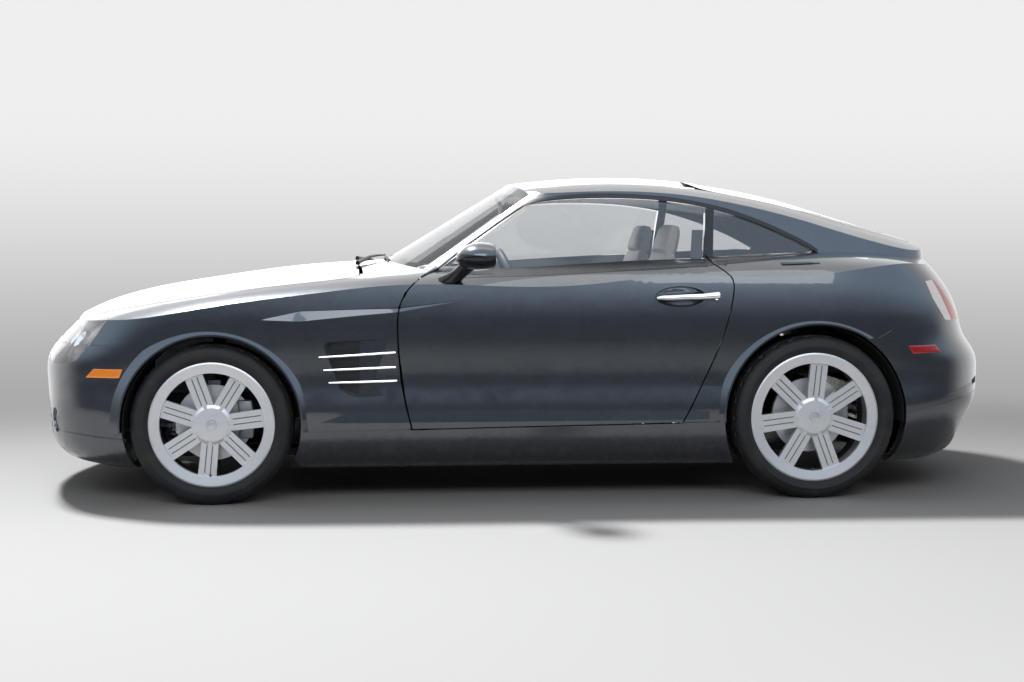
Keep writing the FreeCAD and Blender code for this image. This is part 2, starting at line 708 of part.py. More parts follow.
windscreen = both_halves(single(glass_layer.common(windscreen_block)))
rear_glass = both_halves(single(glass_layer.common(rear_window_block)))
quarter_glass = single(glass_layer.common(quarter_window))
roof_half = green_shell.cut([door_window, quarter_window, windscreen_block, tailgate_space, door_space,
                             bonnet_space])
pin_bore = across_cylinder(HINGE_PIN_RADIUS + FIT_GAP, *TAILGATE_HINGE, -475 - FIT_GAP, -400)
roof = both_halves(single(roof_half.cut([tailgate_relief, corner_relief, pin_bore, cowl_relief])))
hinge_pin = across_cylinder(HINGE_PIN_RADIUS, *TAILGATE_HINGE, -475, -408)
spoiler_slot = plan_prism(SPOILER_SLOT, low=1002, high=1400)
tailgate_half = green_shell.common(tailgate_block).fuse([tailgate_lower, hinge_pin])
tailgate_half = tailgate_half.cut([rear_window_block, spoiler_slot])
tailgate = both_halves(single(tailgate_half))

door_rim = green_shell.common(door_block).cut(door_window)
door_left = single(door_lower.fuse(door_rim).cut(door_nose_trim))

upper_pane = side_prism(DOOR_WINDOW, inner=-300, gap=-SHUT_GAP)
low_pane = side_prism([(-366, 905), (-352, 925), (712, 985), (710, 950)], inner=-300)
door_glass = single(glass_layer.common(upper_pane.fuse(low_pane).common(door_window)))

tip_space = size("exhaust_tip_radius") + FIT_GAP
rear_bumper = rear_bumper.cut([along_cylinder(tip_space, y, EXHAUST_Z, 1700, 2200) for y in (-EXHAUST_Y, EXHAUST_Y)])

feature("front_bumper", front_bumper)
feature("grille", grille)
feature("lower_grille", lower_grille)
feature("bonnet", both_halves(single(bonnet_half)))
feature("roof", roof)
feature("windscreen", windscreen)
feature("tailgate", tailgate)
feature("rear_glass", rear_glass)
feature("rear_bumper", rear_bumper)
for name, piece in (("fender", fender_left), ("headlamp", headlamp_left), ("sill", single(sill_left)),
                    ("door", door_left), ("door_glass", door_glass), ("quarter_panel", quarter_left),
                    ("quarter_glass", quarter_glass), ("tail_lamp", tail_lamp_left)):
    mirrored(feature(name + "_left", piece), name + "_right")

# Floor with firewall, tunnel and rear deck, cut to the inside of the body

FIREWALL_X = -655
DECK_Z = 476
hollow = left_side(lower_body(SIDE_WALL + FIT_GAP, TOP_WALL + FIT_GAP, END_WALL + FIT_GAP, 30))
structure = [
    box((FIREWALL_X, -FAR, 150), (FIREWALL_X + 18, 0, 1000)),
    box((FIREWALL_X, -120, 150), (800, 0, 360)),
    box((812, -FAR, 150), (822, 0, DECK_Z + 8)),
    box((812, -FAR, DECK_Z), (1880, 0, DECK_Z + 8)),
]
inside = structure[0].multiFuse(structure[1:]).common(hollow)
liner_space = across_cylinder(REAR_ARCH[2] + 6 + FIT_GAP, REAR_ARCH[0], REAR_ARCH[1], -900, -540)
inside = inside.cut([liner_space, outer_green, box((560 - FAR, -FAR, 150), (FAR, -FLANK_Y, 176))])
floor_pan = both_halves(single(floor_half.fuse(inside)))
feature("floor_pan", floor_pan)

DASH_PROFILE = [[(FIREWALL_X + 18, 640), (FIREWALL_X + 18, 846)],
                [(FIREWALL_X + 18, 846), (-520, 862), (-380, 866), (-250, 852), (-205, 824)],
                [(-205, 824), (-215, 740), (-290, 650), (-420, 610)]]
SEAT_Y = size("seat_offset")
WHEEL_CENTRE = Vector(-30, -SEAT_Y, 815)
COLUMN_AXIS = Vector(-1, 0, -0.42).normalize()
column_bore = Part.makeCylinder(24 + FIT_GAP, 115, WHEEL_CENTRE + COLUMN_AXIS * 150, COLUMN_AXIS)
feature("dashboard", both_halves(side_prism(DASH_PROFILE, inner=0, outer=-552)).cut(column_bore))

# Wheels: tyre, rim with spokes, brake disc inside

def plane_of(body, role):
    """The body's own origin plane with this role."""
    return next(f for f in body.Origin.OriginFeatures if f.Role == role)


def new_body(label):
    """An empty body for one sub-part."""
    return doc.addObject("PartDesign::Body", label)


def outline_sketch(body, name, role, points):
    """A closed straight-sided sketch with every corner held at sheet-driven distances."""
    sketch = body.newObject("Sketcher::SketchObject", name)
    sketch.AttachmentSupport = [(plane_of(body, role), "")]
    sketch.MapMode = "FlatFace"
    corners = [(Size.of(a), Size.of(b)) for a, b in points]
    for i, (a, b) in enumerate(corners):
        c, d = corners[(i + 1) % len(corners)]
        sketch.addGeometry(Part.LineSegment(Vector(a.value, b.value, 0), Vector(c.value, d.value, 0)), False)
    for i in range(len(corners)):
        sketch.addConstraint(Sketcher.Constraint("Coincident", i, 2, (i + 1) % len(corners), 1))
    for i, corner in enumerate(corners):
        for kind, amount in zip(("DistanceX", "DistanceY"), corner):
            index = sketch.addConstraint(Sketcher.Constraint(kind, -1, 1, i, 1, amount.value))
            if "sizes." in amount.text:
                sketch.setExpression(f"Constraints[{index}]", amount.text)
    return sketch


def revolved(body, name, points, cut=False):
    """A ring turned about the body's Z axis from (radius, height) points."""
    sketch = outline_sketch(body, name + "_outline", "XZ_Plane", points)
    kind = "PartDesign::Groove" if cut else "PartDesign::Revolution"
    turned = body.newObject(kind, name)
    turned.Profile = sketch
    turned.ReferenceAxis = (sketch, ["V_Axis"])
    turned.Angle = 360
    return turned


def padded(body, name, points, length, role="XY_Plane", both_ways=False):
    """A straight-sided outline raised to a length."""
    sketch = outline_sketch(body, name + "_outline", role, points)
    pad = body.newObject("PartDesign::Pad", name)
    pad.Profile = sketch
    amount = Size.of(length)
    pad.Length = amount.value
    if "sizes." in amount.text:
        pad.setExpression("Length", amount.text)
    pad.Midplane = both_ways
    return pad


def tyre(label, end):
    """A low-profile tyre, its tread crowned and its beads on the rim's flanges."""
    radius, width, rim = cell(f"{end}_tyre_radius"), cell(f"{end}_tyre_width"), cell(f"{end}_rim_radius")
    half = width / 2
    body = new_body(label)
    outside = [
        (radius, half - 34), (radius - 9, half - 14), (radius - 26, half - 3), (rim + 28, half), (rim + 11, half - 6),
        (rim + 0.8, half - 19), (rim + 0.6, half - 27.2), (rim - 9.8, half - 31.2), (rim - 12.6, half - 44),
        (rim + 4, half - 38), (rim + 28, half - 12), (radius - 26, half - 16),
    ]
    far_side = [(r, -z) for r, z in reversed(outside)]
    revolved(body, label + "_section", outside + [(radius - 12, Size.of(0))] + far_side)
    return body


def rim(label, end):
    """A seven-spoke rim, outer face towards +Z, with its brake disc bolted behind the hub."""
    radius, width = cell(f"{end}_rim_radius"), cell(f"{end}_tyre_width")
    half = width / 2 - 18
    bore = cell("centre_bore_radius")
    cap = cell("hub_cap_radius")
    disc = cell("brake_disc_radius")
    body = new_body(label)
    revolved(body, label + "_barrel", [
        (radius - 30, half - 30), (radius - 44, half - 14), (radius - 42, half - 5), (radius - 6, half),
        (radius, half - 2), (radius, half - 8), (radius - 10, half - 12), (radius - 16, half - 40),
        (radius - 16, -(half - 40)), (radius - 10, -(half - 12)), (radius, -(half - 8)), (radius, -(half - 2)),
        (radius - 6, -half), (radius - 18, -half), (radius - 28, -(half - 24)), (radius - 28, half - 44),
    ])
    revolved(body, label + "_hub", [
        (bore, half - 96), (disc, half - 96), (disc, half - 118), (disc - 52, half - 118),
        (disc - 60, half - 106), (bore, half - 106),
    ])
    revolved(body, label + "_centre", [
        (bore, half - 100), (72, half - 100), (72, half - 26), (bore, half - 26),
    ])
    revolved(body, label + "_cap", [
        (0, half - 30), (cap, half - 30), (cap, half - 12), (cap - 12, half - 8), (34, half - 6), (0, half - 4),
    ])
    half_spoke = cell("spoke_width") / 2
    outline = [(-half_spoke, 40), (half_spoke, 40), (half_spoke + 3, radius - 30), (-(half_spoke + 3), radius - 30)]
    sketch = outline_sketch(body, label + "_spoke_outline", "XY_Plane", outline)
    sketch.AttachmentOffset = FreeCAD.Placement(Vector(0, 0, (half - 38).value), FreeCAD.Rotation())
    sketch.setExpression("AttachmentOffset.Base.z", (half - 38).text)
    spoke = body.newObject("PartDesign::Pad", label + "_spoke")
    spoke.Profile = sketch
    spoke.Length = 22
    grooves = [spoke]
    shift = cell("spoke_groove_offset")
    for part, sign in (("inner", -1), ("outer", 1)):
        near, far = shift - cell("spoke_groove_width") / 2, shift + cell("spoke_groove_width") / 2
        low, high = (near, far) if sign > 0 else (-far, -near)
        strip = [(low, cap + 4), (high, cap + 4), (high, radius - 52), (low, radius - 52)]
        pocket_sketch = outline_sketch(body, f"{label}_{part}_groove_outline", "XY_Plane", strip)
        pocket_sketch.AttachmentOffset = FreeCAD.Placement(Vector(0, 0, (half - 16).value), FreeCAD.Rotation())
        pocket_sketch.setExpression("AttachmentOffset.Base.z", (half - 16).text)
        pocket = body.newObject("PartDesign::Pocket", f"{label}_{part}_groove")
        pocket.Profile = pocket_sketch
        pocket.Length = 5
        grooves.append(pocket)
    notch = [(-7, cap - 14), (7, cap - 14), (7, cap + 6), (-7, cap + 6)]
    notch_sketch = outline_sketch(body, label + "_notch_outline", "XY_Plane", notch)
    notch_sketch.AttachmentOffset = FreeCAD.Placement(Vector(0, 0, half.value), FreeCAD.Rotation())
    notch_sketch.setExpression("AttachmentOffset.Base.z", half.text)
    notch_cut = body.newObject("PartDesign::Pocket", label + "_notch")
    notch_cut.Profile = notch_sketch
    notch_cut.Length = 15
    grooves.append(notch_cut)
    doc.recompute()
    spokes = body.newObject("PartDesign::PolarPattern", label + "_spokes")
    spokes.Originals = grooves
    spokes.Axis = (body.Origin.OriginFeatures[2], [""])
    spokes.Angle = 360
    spokes.Occurrences = int(size("spoke_count"))
    body.Tip = spokes
    return body


WHEELS = [
    ("front_left", "front", FRONT_AXLE_X, -FRONT_WHEEL_Y, FRONT_AXLE_Z),
    ("front_right", "front", FRONT_AXLE_X, FRONT_WHEEL_Y, FRONT_AXLE_Z),
    ("rear_left", "rear", REAR_AXLE_X, -REAR_WHEEL_Y, REAR_AXLE_Z),
    ("rear_right", "rear", REAR_AXLE_X, REAR_WHEEL_Y, REAR_AXLE_Z),
]
SPOKE_TURN = {"front": 7, "rear": 33}


def block(label, low, high, kept=True):
    """A plain box between two corners given as sizes or numbers."""
    obj = doc.addObject("Part::Box", label)
    for axis, name, a, b in zip("xyz", ("Length", "Width", "Height"), low, high):
        start, span = Size.of(a), Size.of(b) - a
        setattr(obj, name, span.value)
        if "sizes." in span.text:
            obj.setExpression(name, span.text)
        setattr(obj.Placement.Base, axis, start.value)
        if "sizes." in start.text:
            obj.setExpression(f"Placement.Base.{axis}", start.text)
    obj.Placement = FreeCAD.Placement(Vector(*[Size.of(a).value for a in low]), FreeCAD.Rotation())
    return keep(obj, label) if kept else obj


def fused(label, members, kept=True):
    """Several primitives joined into one sub-part."""
    obj = doc.addObject("Part::MultiFuse", label)
    obj.Shapes = members
    return keep(obj, label) if kept else obj


def rod(label, radius, start, end, kept=False):
    """A round bar between two points."""
    start, end = Vector(*start), Vector(*end)
    obj = doc.addObject("Part::Cylinder", label)
    obj.Radius = Size.of(radius).value
    if "sizes." in Size.of(radius).text:
        obj.setExpression("Radius", Size.of(radius).text)
    obj.Height = start.distanceToPoint(end)
    obj.Placement = FreeCAD.Placement(start, FreeCAD.Rotation(Vector(0, 0, 1), end - start))
    return keep(obj, label) if kept else obj


# Steering knuckles: hub carrier, upright and caliper, which turn with the wheel

STEER_Y = 700
BALL_PIN_RADIUS = 12
SPINDLE_RADIUS = cell("centre_bore_radius") - cell("fit_gap")


def knuckle(side, sign):
    """The front hub carrier inside the wheel, with its upright, arm and brake caliper."""
    x, z, y = FRONT_AXLE_X, FRONT_AXLE_Z, sign * STEER_Y
    name = f"knuckle_front_{side}"
    hub_y = FRONT_WHEEL_Y - 34
    carrier = fused(name + "_carrier", [
        rod(name + "_hub", 62, (x, sign * hub_y, z), (x, sign * 640, z)),
        rod(name + "_spindle", SPINDLE_RADIUS, (x, sign * (FRONT_WHEEL_Y + 48), z), (x, sign * 660, z)),
        block(name + "_upright", (x - 24, min(y + sign * 17, y - sign * 56), z - 126),
              (x + 24, max(y + sign * 17, y - sign * 56), z + 165), kept=False),
        block(name + "_arm", (x + 20, min(sign * 640, sign * 676), z - 60),
              (x + 140, max(sign * 640, sign * 676), z - 30), kept=False),
    ], kept=False)
    bored = doc.addObject("Part::Cut", name)
    bored.Base = carrier
    bored.Tool = rod(name + "_bore", BALL_PIN_RADIUS + FIT_GAP, (x, y, z - 136), (x, y, z - 102))
    return keep(bored, name)


# Underbody

def underbody():
    """Front subframe, rear axle carrier, engine, exhaust."""
    fx, fz, rx, rz = FRONT_AXLE_X, FRONT_AXLE_Z, REAR_AXLE_X, REAR_AXLE_Z
    members = [block("subframe_beam", (fx - 70, -440, 190), (fx + 90, 440, 262), kept=False),
               block("subframe_tray", (-1500, -400, 183), (-700, 400, 191), kept=False)]
    for side, sign in (("l", -1), ("r", 1)):
        members.append(block(f"subframe_rail_{side}", (-1873.7, min(sign * 380, sign * 440), 300),
                             (FIREWALL_X, max(sign * 380, sign * 440), 400), kept=False))
        members.append(block(f"subframe_post_{side}", (fx - 60, min(sign * 380, sign * 440), 262),
                             (fx + 60, max(sign * 380, sign * 440), 300), kept=False))
        members.append(rod(f"subframe_arm_{side}", 15, (fx, sign * 430, 226), (fx, sign * STEER_Y, 148)))
        members.append(rod(f"subframe_eye_{side}", 21, (fx, sign * STEER_Y, 132), (fx, sign * STEER_Y, 160)))
        members.append(rod(f"subframe_pin_{side}", BALL_PIN_RADIUS, (fx, sign * STEER_Y, 140),
                           (fx, sign * STEER_Y, 210)))
        members.append(rod(f"subframe_strut_{side}", 26, (fx, sign * 468, 300), (fx, sign * 500, 812)))
        members.append(block(f"subframe_tower_{side}", (fx - 40, min(sign * 430, sign * 500), 320),
                             (fx + 40, max(sign * 430, sign * 500), 380), kept=False))
    fused("front_subframe", members)
    axle = [block("axle_beam", (rx - 60, -430, 250), (rx + 60, 430, 320), kept=False),
            block("axle_final_drive", (rx - 130, -130, 230), (rx + 150, 130, 430), kept=False)]
    for side, sign in (("l", -1), ("r", 1)):
        axle.append(rod(f"axle_shaft_{side}", 22, (rx, sign * 120, rz), (rx, sign * 690, rz)))
        axle.append(rod(f"axle_spindle_{side}", SPINDLE_RADIUS, (rx, sign * 640, rz),
                        (rx, sign * (REAR_WHEEL_Y + 58), rz)))
        axle.append(rod(f"axle_hub_{side}", 62, (rx, sign * 590, rz), (rx, sign * 690, rz)))
        axle.append(rod(f"axle_arm_{side}", 24, (rx - 30, sign * 420, 285), (rx, sign * 610, rz - 30)))
        axle.append(rod(f"axle_spring_{side}", 45, (rx + 10, sign * 400, 310), (rx + 10, sign * 400, 470)))
    fused("rear_axle", axle)


underbody()
knuckle("left", -1)
knuckle("right", 1)
block("engine_block", (-1560, -270, 262.5), (-880, 270, 720))

tip = cell("exhaust_tip_radius")
exhaust_body = fused("exhaust_body", [
    block("exhaust_silencer", (1480, -330, 250), (1800, 330, 400), kept=False),
    rod("exhaust_tip_left", tip, (1790, -EXHAUST_Y, EXHAUST_Z), (2016, -EXHAUST_Y, EXHAUST_Z)),
    rod("exhaust_tip_right", tip, (1790, EXHAUST_Y, EXHAUST_Z), (2016, EXHAUST_Y, EXHAUST_Z)),
    rod("exhaust_pipe_front", 28, (832, -172, 213), (1295, -172, 213)),
    rod("exhaust_pipe_rear", 28, (1270, -172, 208), (1490, -172, 300)),
    rod("exhaust_hanger", 12, (1640, 0, 395), (1640, 0, 476)),
], kept=False)
exhaust = doc.addObject("Part::Cut", "exhaust")
exhaust.Base = exhaust_body
exhaust.Tool = fused("exhaust_bores", [
    rod("exhaust_bore_left", tip - 4, (1930, -EXHAUST_Y, EXHAUST_Z), (2030, -EXHAUST_Y, EXHAUST_Z)),
    rod("exhaust_bore_right", tip - 4, (1930, EXHAUST_Y, EXHAUST_Z), (2030, EXHAUST_Y, EXHAUST_Z)),
], kept=False)
keep(exhaust, "exhaust")

# Cabin

SEAT_PROFILE = [(-60, 300), (-70, 390), (60, 440), (300, 410), (420, 420), (470, 700), (520, 980), (552, 1090),
                (600, 1108), (640, 1085), (630, 960), (600, 640), (560, 330), (480, 290), (460, FLOOR_TOP + FIT_GAP),
                (40, FLOOR_TOP + FIT_GAP), (40, 262)]
for side, sign in (("left", -1), ("right", 1)):
    seat = new_body(f"seat_{side}")
    padded(seat, f"seat_{side}_shape", SEAT_PROFILE, cell("seat_width"), role="XZ_Plane", both_ways=True)
    seat.Placement = FreeCAD.Placement(Vector(0, sign * SEAT_Y, 0), FreeCAD.Rotation())
    keep(seat, f"seat_{side}")

ring = doc.addObject("Part::Torus", "steering_ring")
ring.Radius1 = size("steering_wheel_radius")
ring.setExpression("Radius1", "sizes.steering_wheel_radius")
ring.Radius2 = 15
ring.Placement = FreeCAD.Placement(WHEEL_CENTRE, FreeCAD.Rotation(Vector(0, 0, 1), COLUMN_AXIS))
across = Vector(0, 1, 0)
upward = COLUMN_AXIS.cross(across)
reach = size("steering_wheel_radius") - 2
members = [ring, rod("steering_hub", 60, WHEEL_CENTRE - COLUMN_AXIS * 12, WHEEL_CENTRE + COLUMN_AXIS * 30),
           rod("steering_stub", 24, WHEEL_CENTRE, WHEEL_CENTRE + COLUMN_AXIS * 250),
           rod("steering_spoke_left", 14, WHEEL_CENTRE, WHEEL_CENTRE - across * reach),
           rod("steering_spoke_right", 14, WHEEL_CENTRE, WHEEL_CENTRE + across * reach),
           rod("steering_spoke_low", 14, WHEEL_CENTRE, WHEEL_CENTRE - upward * reach)]
fused("steering_wheel", members)

for name, end, x, y, z in WHEELS:
    turn = 90 if y < 0 else -90
    outward = FreeCAD.Rotation(Vector(1, 0, 0), turn)
    spin = FreeCAD.Rotation(Vector(0, 0, 1), SPOKE_TURN[end] - 90)
    for maker, label in ((tyre, f"tyre_{name}"), (rim, f"rim_{name}")):
        body = maker(label, end)
        body.Placement = FreeCAD.Placement(Vector(x, y, z), outward * spin)
        keep(body, label)

# Door mirrors

MIRROR_CENTRE = Vector(-216, -936, 979)
MIRROR_RADII = (96, 106, 54)
MIRROR_BACK = 56
MIRROR_FOOT = [(-326, -790, 846, 50, 22), (-296, -836, 900, 42, 20), (-258, -884, 950, 36, 24)]


def level_oval(x, y, z, long_radius, short_radius):
    """A level oval, its long axis along the car."""
    return Part.Wire([Part.Ellipse(Vector(x, y, z), long_radius, short_radius).toShape()])


def mirror_shell():
    """A rounded mirror head with a flat back, on a foot that leans out of the door's front corner."""
    stretch = FreeCAD.Matrix()
    stretch.scale(*MIRROR_RADII)
    head = Part.makeSphere(1.0).transformGeometry(stretch)
    head.translate(MIRROR_CENTRE)
    back = box((MIRROR_CENTRE.x + MIRROR_BACK, -1100, 860), (MIRROR_CENTRE.x + 120, -800, 1100))
    foot = Part.makeLoft([level_oval(*section) for section in MIRROR_FOOT], True, False)
    return single(head.cut(back).fuse(foot).cut(door_left))


mirrored(feature("mirror_left", mirror_shell()), "mirror_right")

doc.recompute()
for obj in doc.Objects:
    if "Invalid" in obj.State or "Error" in obj.State:
        raise RuntimeError(f"{obj.Label} is in state {obj.State}")
for obj in pieces:
    if obj.Shape.isNull() or not obj.Shape.isValid() or len(obj.Shape.Solids) != 1:
        raise RuntimeError(f"{obj.Label} is not one valid solid")

os.makedirs("parts", exist_ok=True)
for obj in pieces:
    obj.Shape.exportStep(f"parts/{obj.Label}.step")
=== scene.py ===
"""The looks of a two-seat fastback coupe car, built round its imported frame."""

import json
import logging
import math
from collections.abc import Callable, Iterator, Sequence
from contextlib import contextmanager
from dataclasses import dataclass, field
from enum import Enum

import bmesh
import bpy
from mathutils import Matrix, Vector
from mathutils.bvhtree import BVHTree


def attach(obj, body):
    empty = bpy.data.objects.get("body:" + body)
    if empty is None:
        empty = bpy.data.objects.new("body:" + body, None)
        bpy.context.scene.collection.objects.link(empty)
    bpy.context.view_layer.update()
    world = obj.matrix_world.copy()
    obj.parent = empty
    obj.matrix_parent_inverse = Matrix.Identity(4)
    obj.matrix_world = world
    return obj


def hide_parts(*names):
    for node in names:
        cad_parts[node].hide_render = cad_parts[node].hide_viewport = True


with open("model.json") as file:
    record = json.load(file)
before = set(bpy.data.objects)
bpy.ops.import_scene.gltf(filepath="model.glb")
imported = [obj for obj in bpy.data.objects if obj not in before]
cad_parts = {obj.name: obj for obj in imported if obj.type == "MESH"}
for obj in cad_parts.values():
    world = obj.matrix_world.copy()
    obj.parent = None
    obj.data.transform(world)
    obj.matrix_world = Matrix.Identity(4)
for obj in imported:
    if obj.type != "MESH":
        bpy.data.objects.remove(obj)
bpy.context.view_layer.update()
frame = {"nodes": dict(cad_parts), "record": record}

Colour = tuple[float, float, float]
Point = tuple[float, float, float]
Span = tuple[float, float]

log = logging.getLogger("coupe_car")

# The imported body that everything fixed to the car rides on
BODY = "body_shell"


class Side(Enum):
    """The car's two sides, by the sign of Y."""

    LEFT = -1
    RIGHT = 1

    @property
    def label(self) -> str:
        """The side's word in a piece's name."""
        return self.name.lower()

    @property
    def outward(self) -> Point:
        """The way out of the car on this side."""
        return 0.0, float(self.value), 0.0


@dataclass(frozen=True)
class Axle:
    """One axle: its place, its wheels' sizes, and the arches over them."""

    end: str
    x: float
    half_track: float
    radius: float
    rim_radius: float
    width: float
    spoke_turn: float
    arch_x: float
    arch_radius: float

    def corner(self, side: Side) -> str:
        """The corner's words in a piece's name."""
        return f"{self.end}_{side.label}"

    def centre(self, side: Side) -> Point:
        """The middle of one wheel, which stands on the ground."""
        return self.x, side.value * self.half_track, self.radius


AXLES = (
    Axle("front", -1.266, 0.7465, 0.317, 0.246, 0.225, 7.0, -1.266, 0.350),
    Axle("rear", 1.134, 0.751, 0.329, 0.259, 0.255, 33.0, 1.140, 0.372),
)


class Slot(Enum):
    """The record's material slots, by which the imported nodes take their finish."""

    PAINT = "body_paint"
    GLASS = "glass"
    GRILLE = "grille_metal"
    DARK = "dark_plastic"
    CLEAR_LAMP = "lamp_clear"
    RED_LAMP = "lamp_red"
    CABIN = "cabin_trim"
    CHASSIS = "chassis_steel"
    CAST = "cast_metal"
    EXHAUST = "exhaust_steel"
    LEATHER = "seat_leather"
    RUBBER = "tyre_rubber"
    RIM = "rim_silver"


# Shader maths

class Wire:
    """A shader socket whose Python operators add Math nodes."""

    def __init__(self, graph: "Graph", socket: bpy.types.NodeSocket) -> None:
        """Wrap one output socket of a graph."""
        self.graph = graph
        self.socket = socket

    def _math(self, operation: str, *values: "Wire | float") -> "Wire":
        """Add one Math node.

        Args:
            operation: the Math node's operation.
            values: what goes into its inputs in turn.

        Returns:
            The node's result.
        """
        return self.graph.add("ShaderNodeMath", {"operation": operation}, dict(enumerate(values)))

    def __add__(self, other: "Wire | float") -> "Wire":
        """Sum."""
        return self._math("ADD", self, other)

    __radd__ = __add__

    def __sub__(self, other: "Wire | float") -> "Wire":
        """Difference."""
        return self._math("SUBTRACT", self, other)

    def __rsub__(self, other: float) -> "Wire":
        """Difference from a number."""
        return self._math("SUBTRACT", other, self)

    def __mul__(self, other: "Wire | float") -> "Wire":
        """Product."""
        return self._math("MULTIPLY", self, other)

    __rmul__ = __mul__

    def __pow__(self, power: float) -> "Wire":
        """Power."""
        return self._math("POWER", self, power)

    def __abs__(self) -> "Wire":
        """Absolute value."""
        return self._math("ABSOLUTE", self)

    def above(self, edge: float) -> "Wire":
        """One where the value is over an edge, else zero."""
        return self._math("GREATER_THAN", self, edge)

    def below(self, edge: float) -> "Wire":
        """One where the value is under an edge, else zero."""
        return self._math("LESS_THAN", self, edge)

    def ramped(self, low: float, high: float) -> "Wire":
        """Zero at low, one at high, and smooth between.

        Args:
            low: the value that gives zero.
            high: the value that gives one.

        Returns:
            The ramped value.
        """
        inputs = {"Value": self, "From Min": low, "From Max": high}
        return self.graph.add("ShaderNodeMapRange", {"interpolation_type": "SMOOTHSTEP"}, inputs)


class Graph:
    """The node tree of one new material."""

    def __init__(self, name: str) -> None:
        """Start an empty material.

        Args:
            name: the material's name.
        """
        self.material = bpy.data.materials.new(name)
        self.material.use_nodes = True
        self.tree = self.material.node_tree
        self.tree.nodes.clear()

    @classmethod
    def over(cls, tree: bpy.types.NodeTree) -> "Graph":
        """A graph on a tree that exists already, emptied first."""
        graph = cls.__new__(cls)
        graph.material, graph.tree = None, tree
        tree.nodes.clear()
        return graph

    def node(self, kind: str, settings: dict | None = None, inputs: dict | None = None) -> bpy.types.Node:
        """Add a node, set its settings first and then its sockets.

        Args:
            kind: the node's type.
            settings: attributes of the node; "stops" are a colour ramp's (place, colour) pairs.
            inputs: numbers, colours or wires by socket name or index.

        Returns:
            The node.
        """
        made = self.tree.nodes.new(kind)
        for key, value in (settings or {}).items():
            if key == "stops":
                for element, (place, colour) in zip(made.color_ramp.elements, value):
                    element.position, element.color = place, (*colour, 1.0)
            else:
                setattr(made, key, value)
        for key, value in (inputs or {}).items():
            socket = made.inputs[key]
            if isinstance(value, Wire):
                self.tree.links.new(value.socket, socket)
            elif isinstance(value, tuple) and socket.type == "RGBA":
                socket.default_value = (*value[:3], 1.0)
            else:
                socket.default_value = value
        return made

    def add(self, kind: str, settings: dict | None = None, inputs: dict | None = None,
            out: int | str = 0) -> Wire:
        """Add a node as node() does, and return one of its outputs.

        Args:
            kind: the node's type.
            settings: attributes of the node.
            inputs: numbers, colours or wires by socket name or index.
            out: the output's name or index.

        Returns:
            That output as a wire.
        """
        return Wire(self, self.node(kind, settings, inputs).outputs[out])

    def place(self, stretch: Point = (1.0, 1.0, 1.0)) -> Wire:
        """Object coordinates, in metres, stretched along each axis."""
        spot = self.add("ShaderNodeTexCoord", out="Object")
        if stretch == (1.0, 1.0, 1.0):
            return spot
        return self.add("ShaderNodeMapping", {}, {"Vector": spot, "Scale": stretch})

    def axes(self) -> tuple[Wire, Wire, Wire]:
        """The object coordinates as three numbers."""
        split = self.node("ShaderNodeSeparateXYZ", {}, {"Vector": self.place()})
        return tuple(Wire(self, split.outputs[i]) for i in range(3))

    def noise(self, scale: float, detail: float = 2.0, stretch: Point = (1.0, 1.0, 1.0)) -> Wire:
        """Soft noise from zero to one, scale counted per metre."""
        inputs = {"Vector": self.place(stretch), "Scale": scale, "Detail": detail}
        return self.add("ShaderNodeTexNoise", {}, inputs)

    def cells(self, scale: float, feature: str = "F1", out: str = "Distance") -> Wire:
        """A Voronoi pattern, scale counted per metre."""
        inputs = {"Vector": self.place(), "Scale": scale}
        return self.add("ShaderNodeTexVoronoi", {"feature": feature}, inputs, out)

    def ribs(self, along_them: Wire, pitch: float) -> Wire:
        """Rounded ribs from zero to one, their pitch in metres."""
        return abs(self.add("ShaderNodeMath", {"operation": "SINE"}, {0: along_them * (math.pi / pitch)}))

    def facing(self, blend: float) -> Wire:
        """Zero where a surface faces the eye, and one where it is seen along its face."""
        return self.add("ShaderNodeLayerWeight", {}, {"Blend": blend}, out="Facing")

    def blend(self, factor: Wire | float, low: Wire | Colour, high: Wire | Colour) -> Wire:
        """A colour between two, by a factor.

        Args:
            factor: zero gives low and one gives high.
            low: the first colour.
            high: the second colour.

        Returns:
            The blended colour.
        """
        return self.add("ShaderNodeMix", {"data_type": "RGBA"}, {0: factor, 6: low, 7: high}, out=2)

    def bump(self, height: Wire, distance: float, strength: float = 1.0) -> Wire:
        """A normal that follows a height, its distance in metres."""
        return self.add("ShaderNodeBump", {}, {"Height": height, "Distance": distance, "Strength": strength})

    def surface(self, **sockets: "Wire | float | Colour") -> bpy.types.Material:
        """Close the graph with one Principled shader.

        Args:
            sockets: values by socket name, with underscores for spaces.

        Returns:
            The finished material.
        """
        named = {key.replace("_", " "): value for key, value in sockets.items()}
        shader = self.add("ShaderNodeBsdfPrincipled", {}, named)
        self.node("ShaderNodeOutputMaterial", {}, {"Surface": shader})
        return self.material


# Finishes

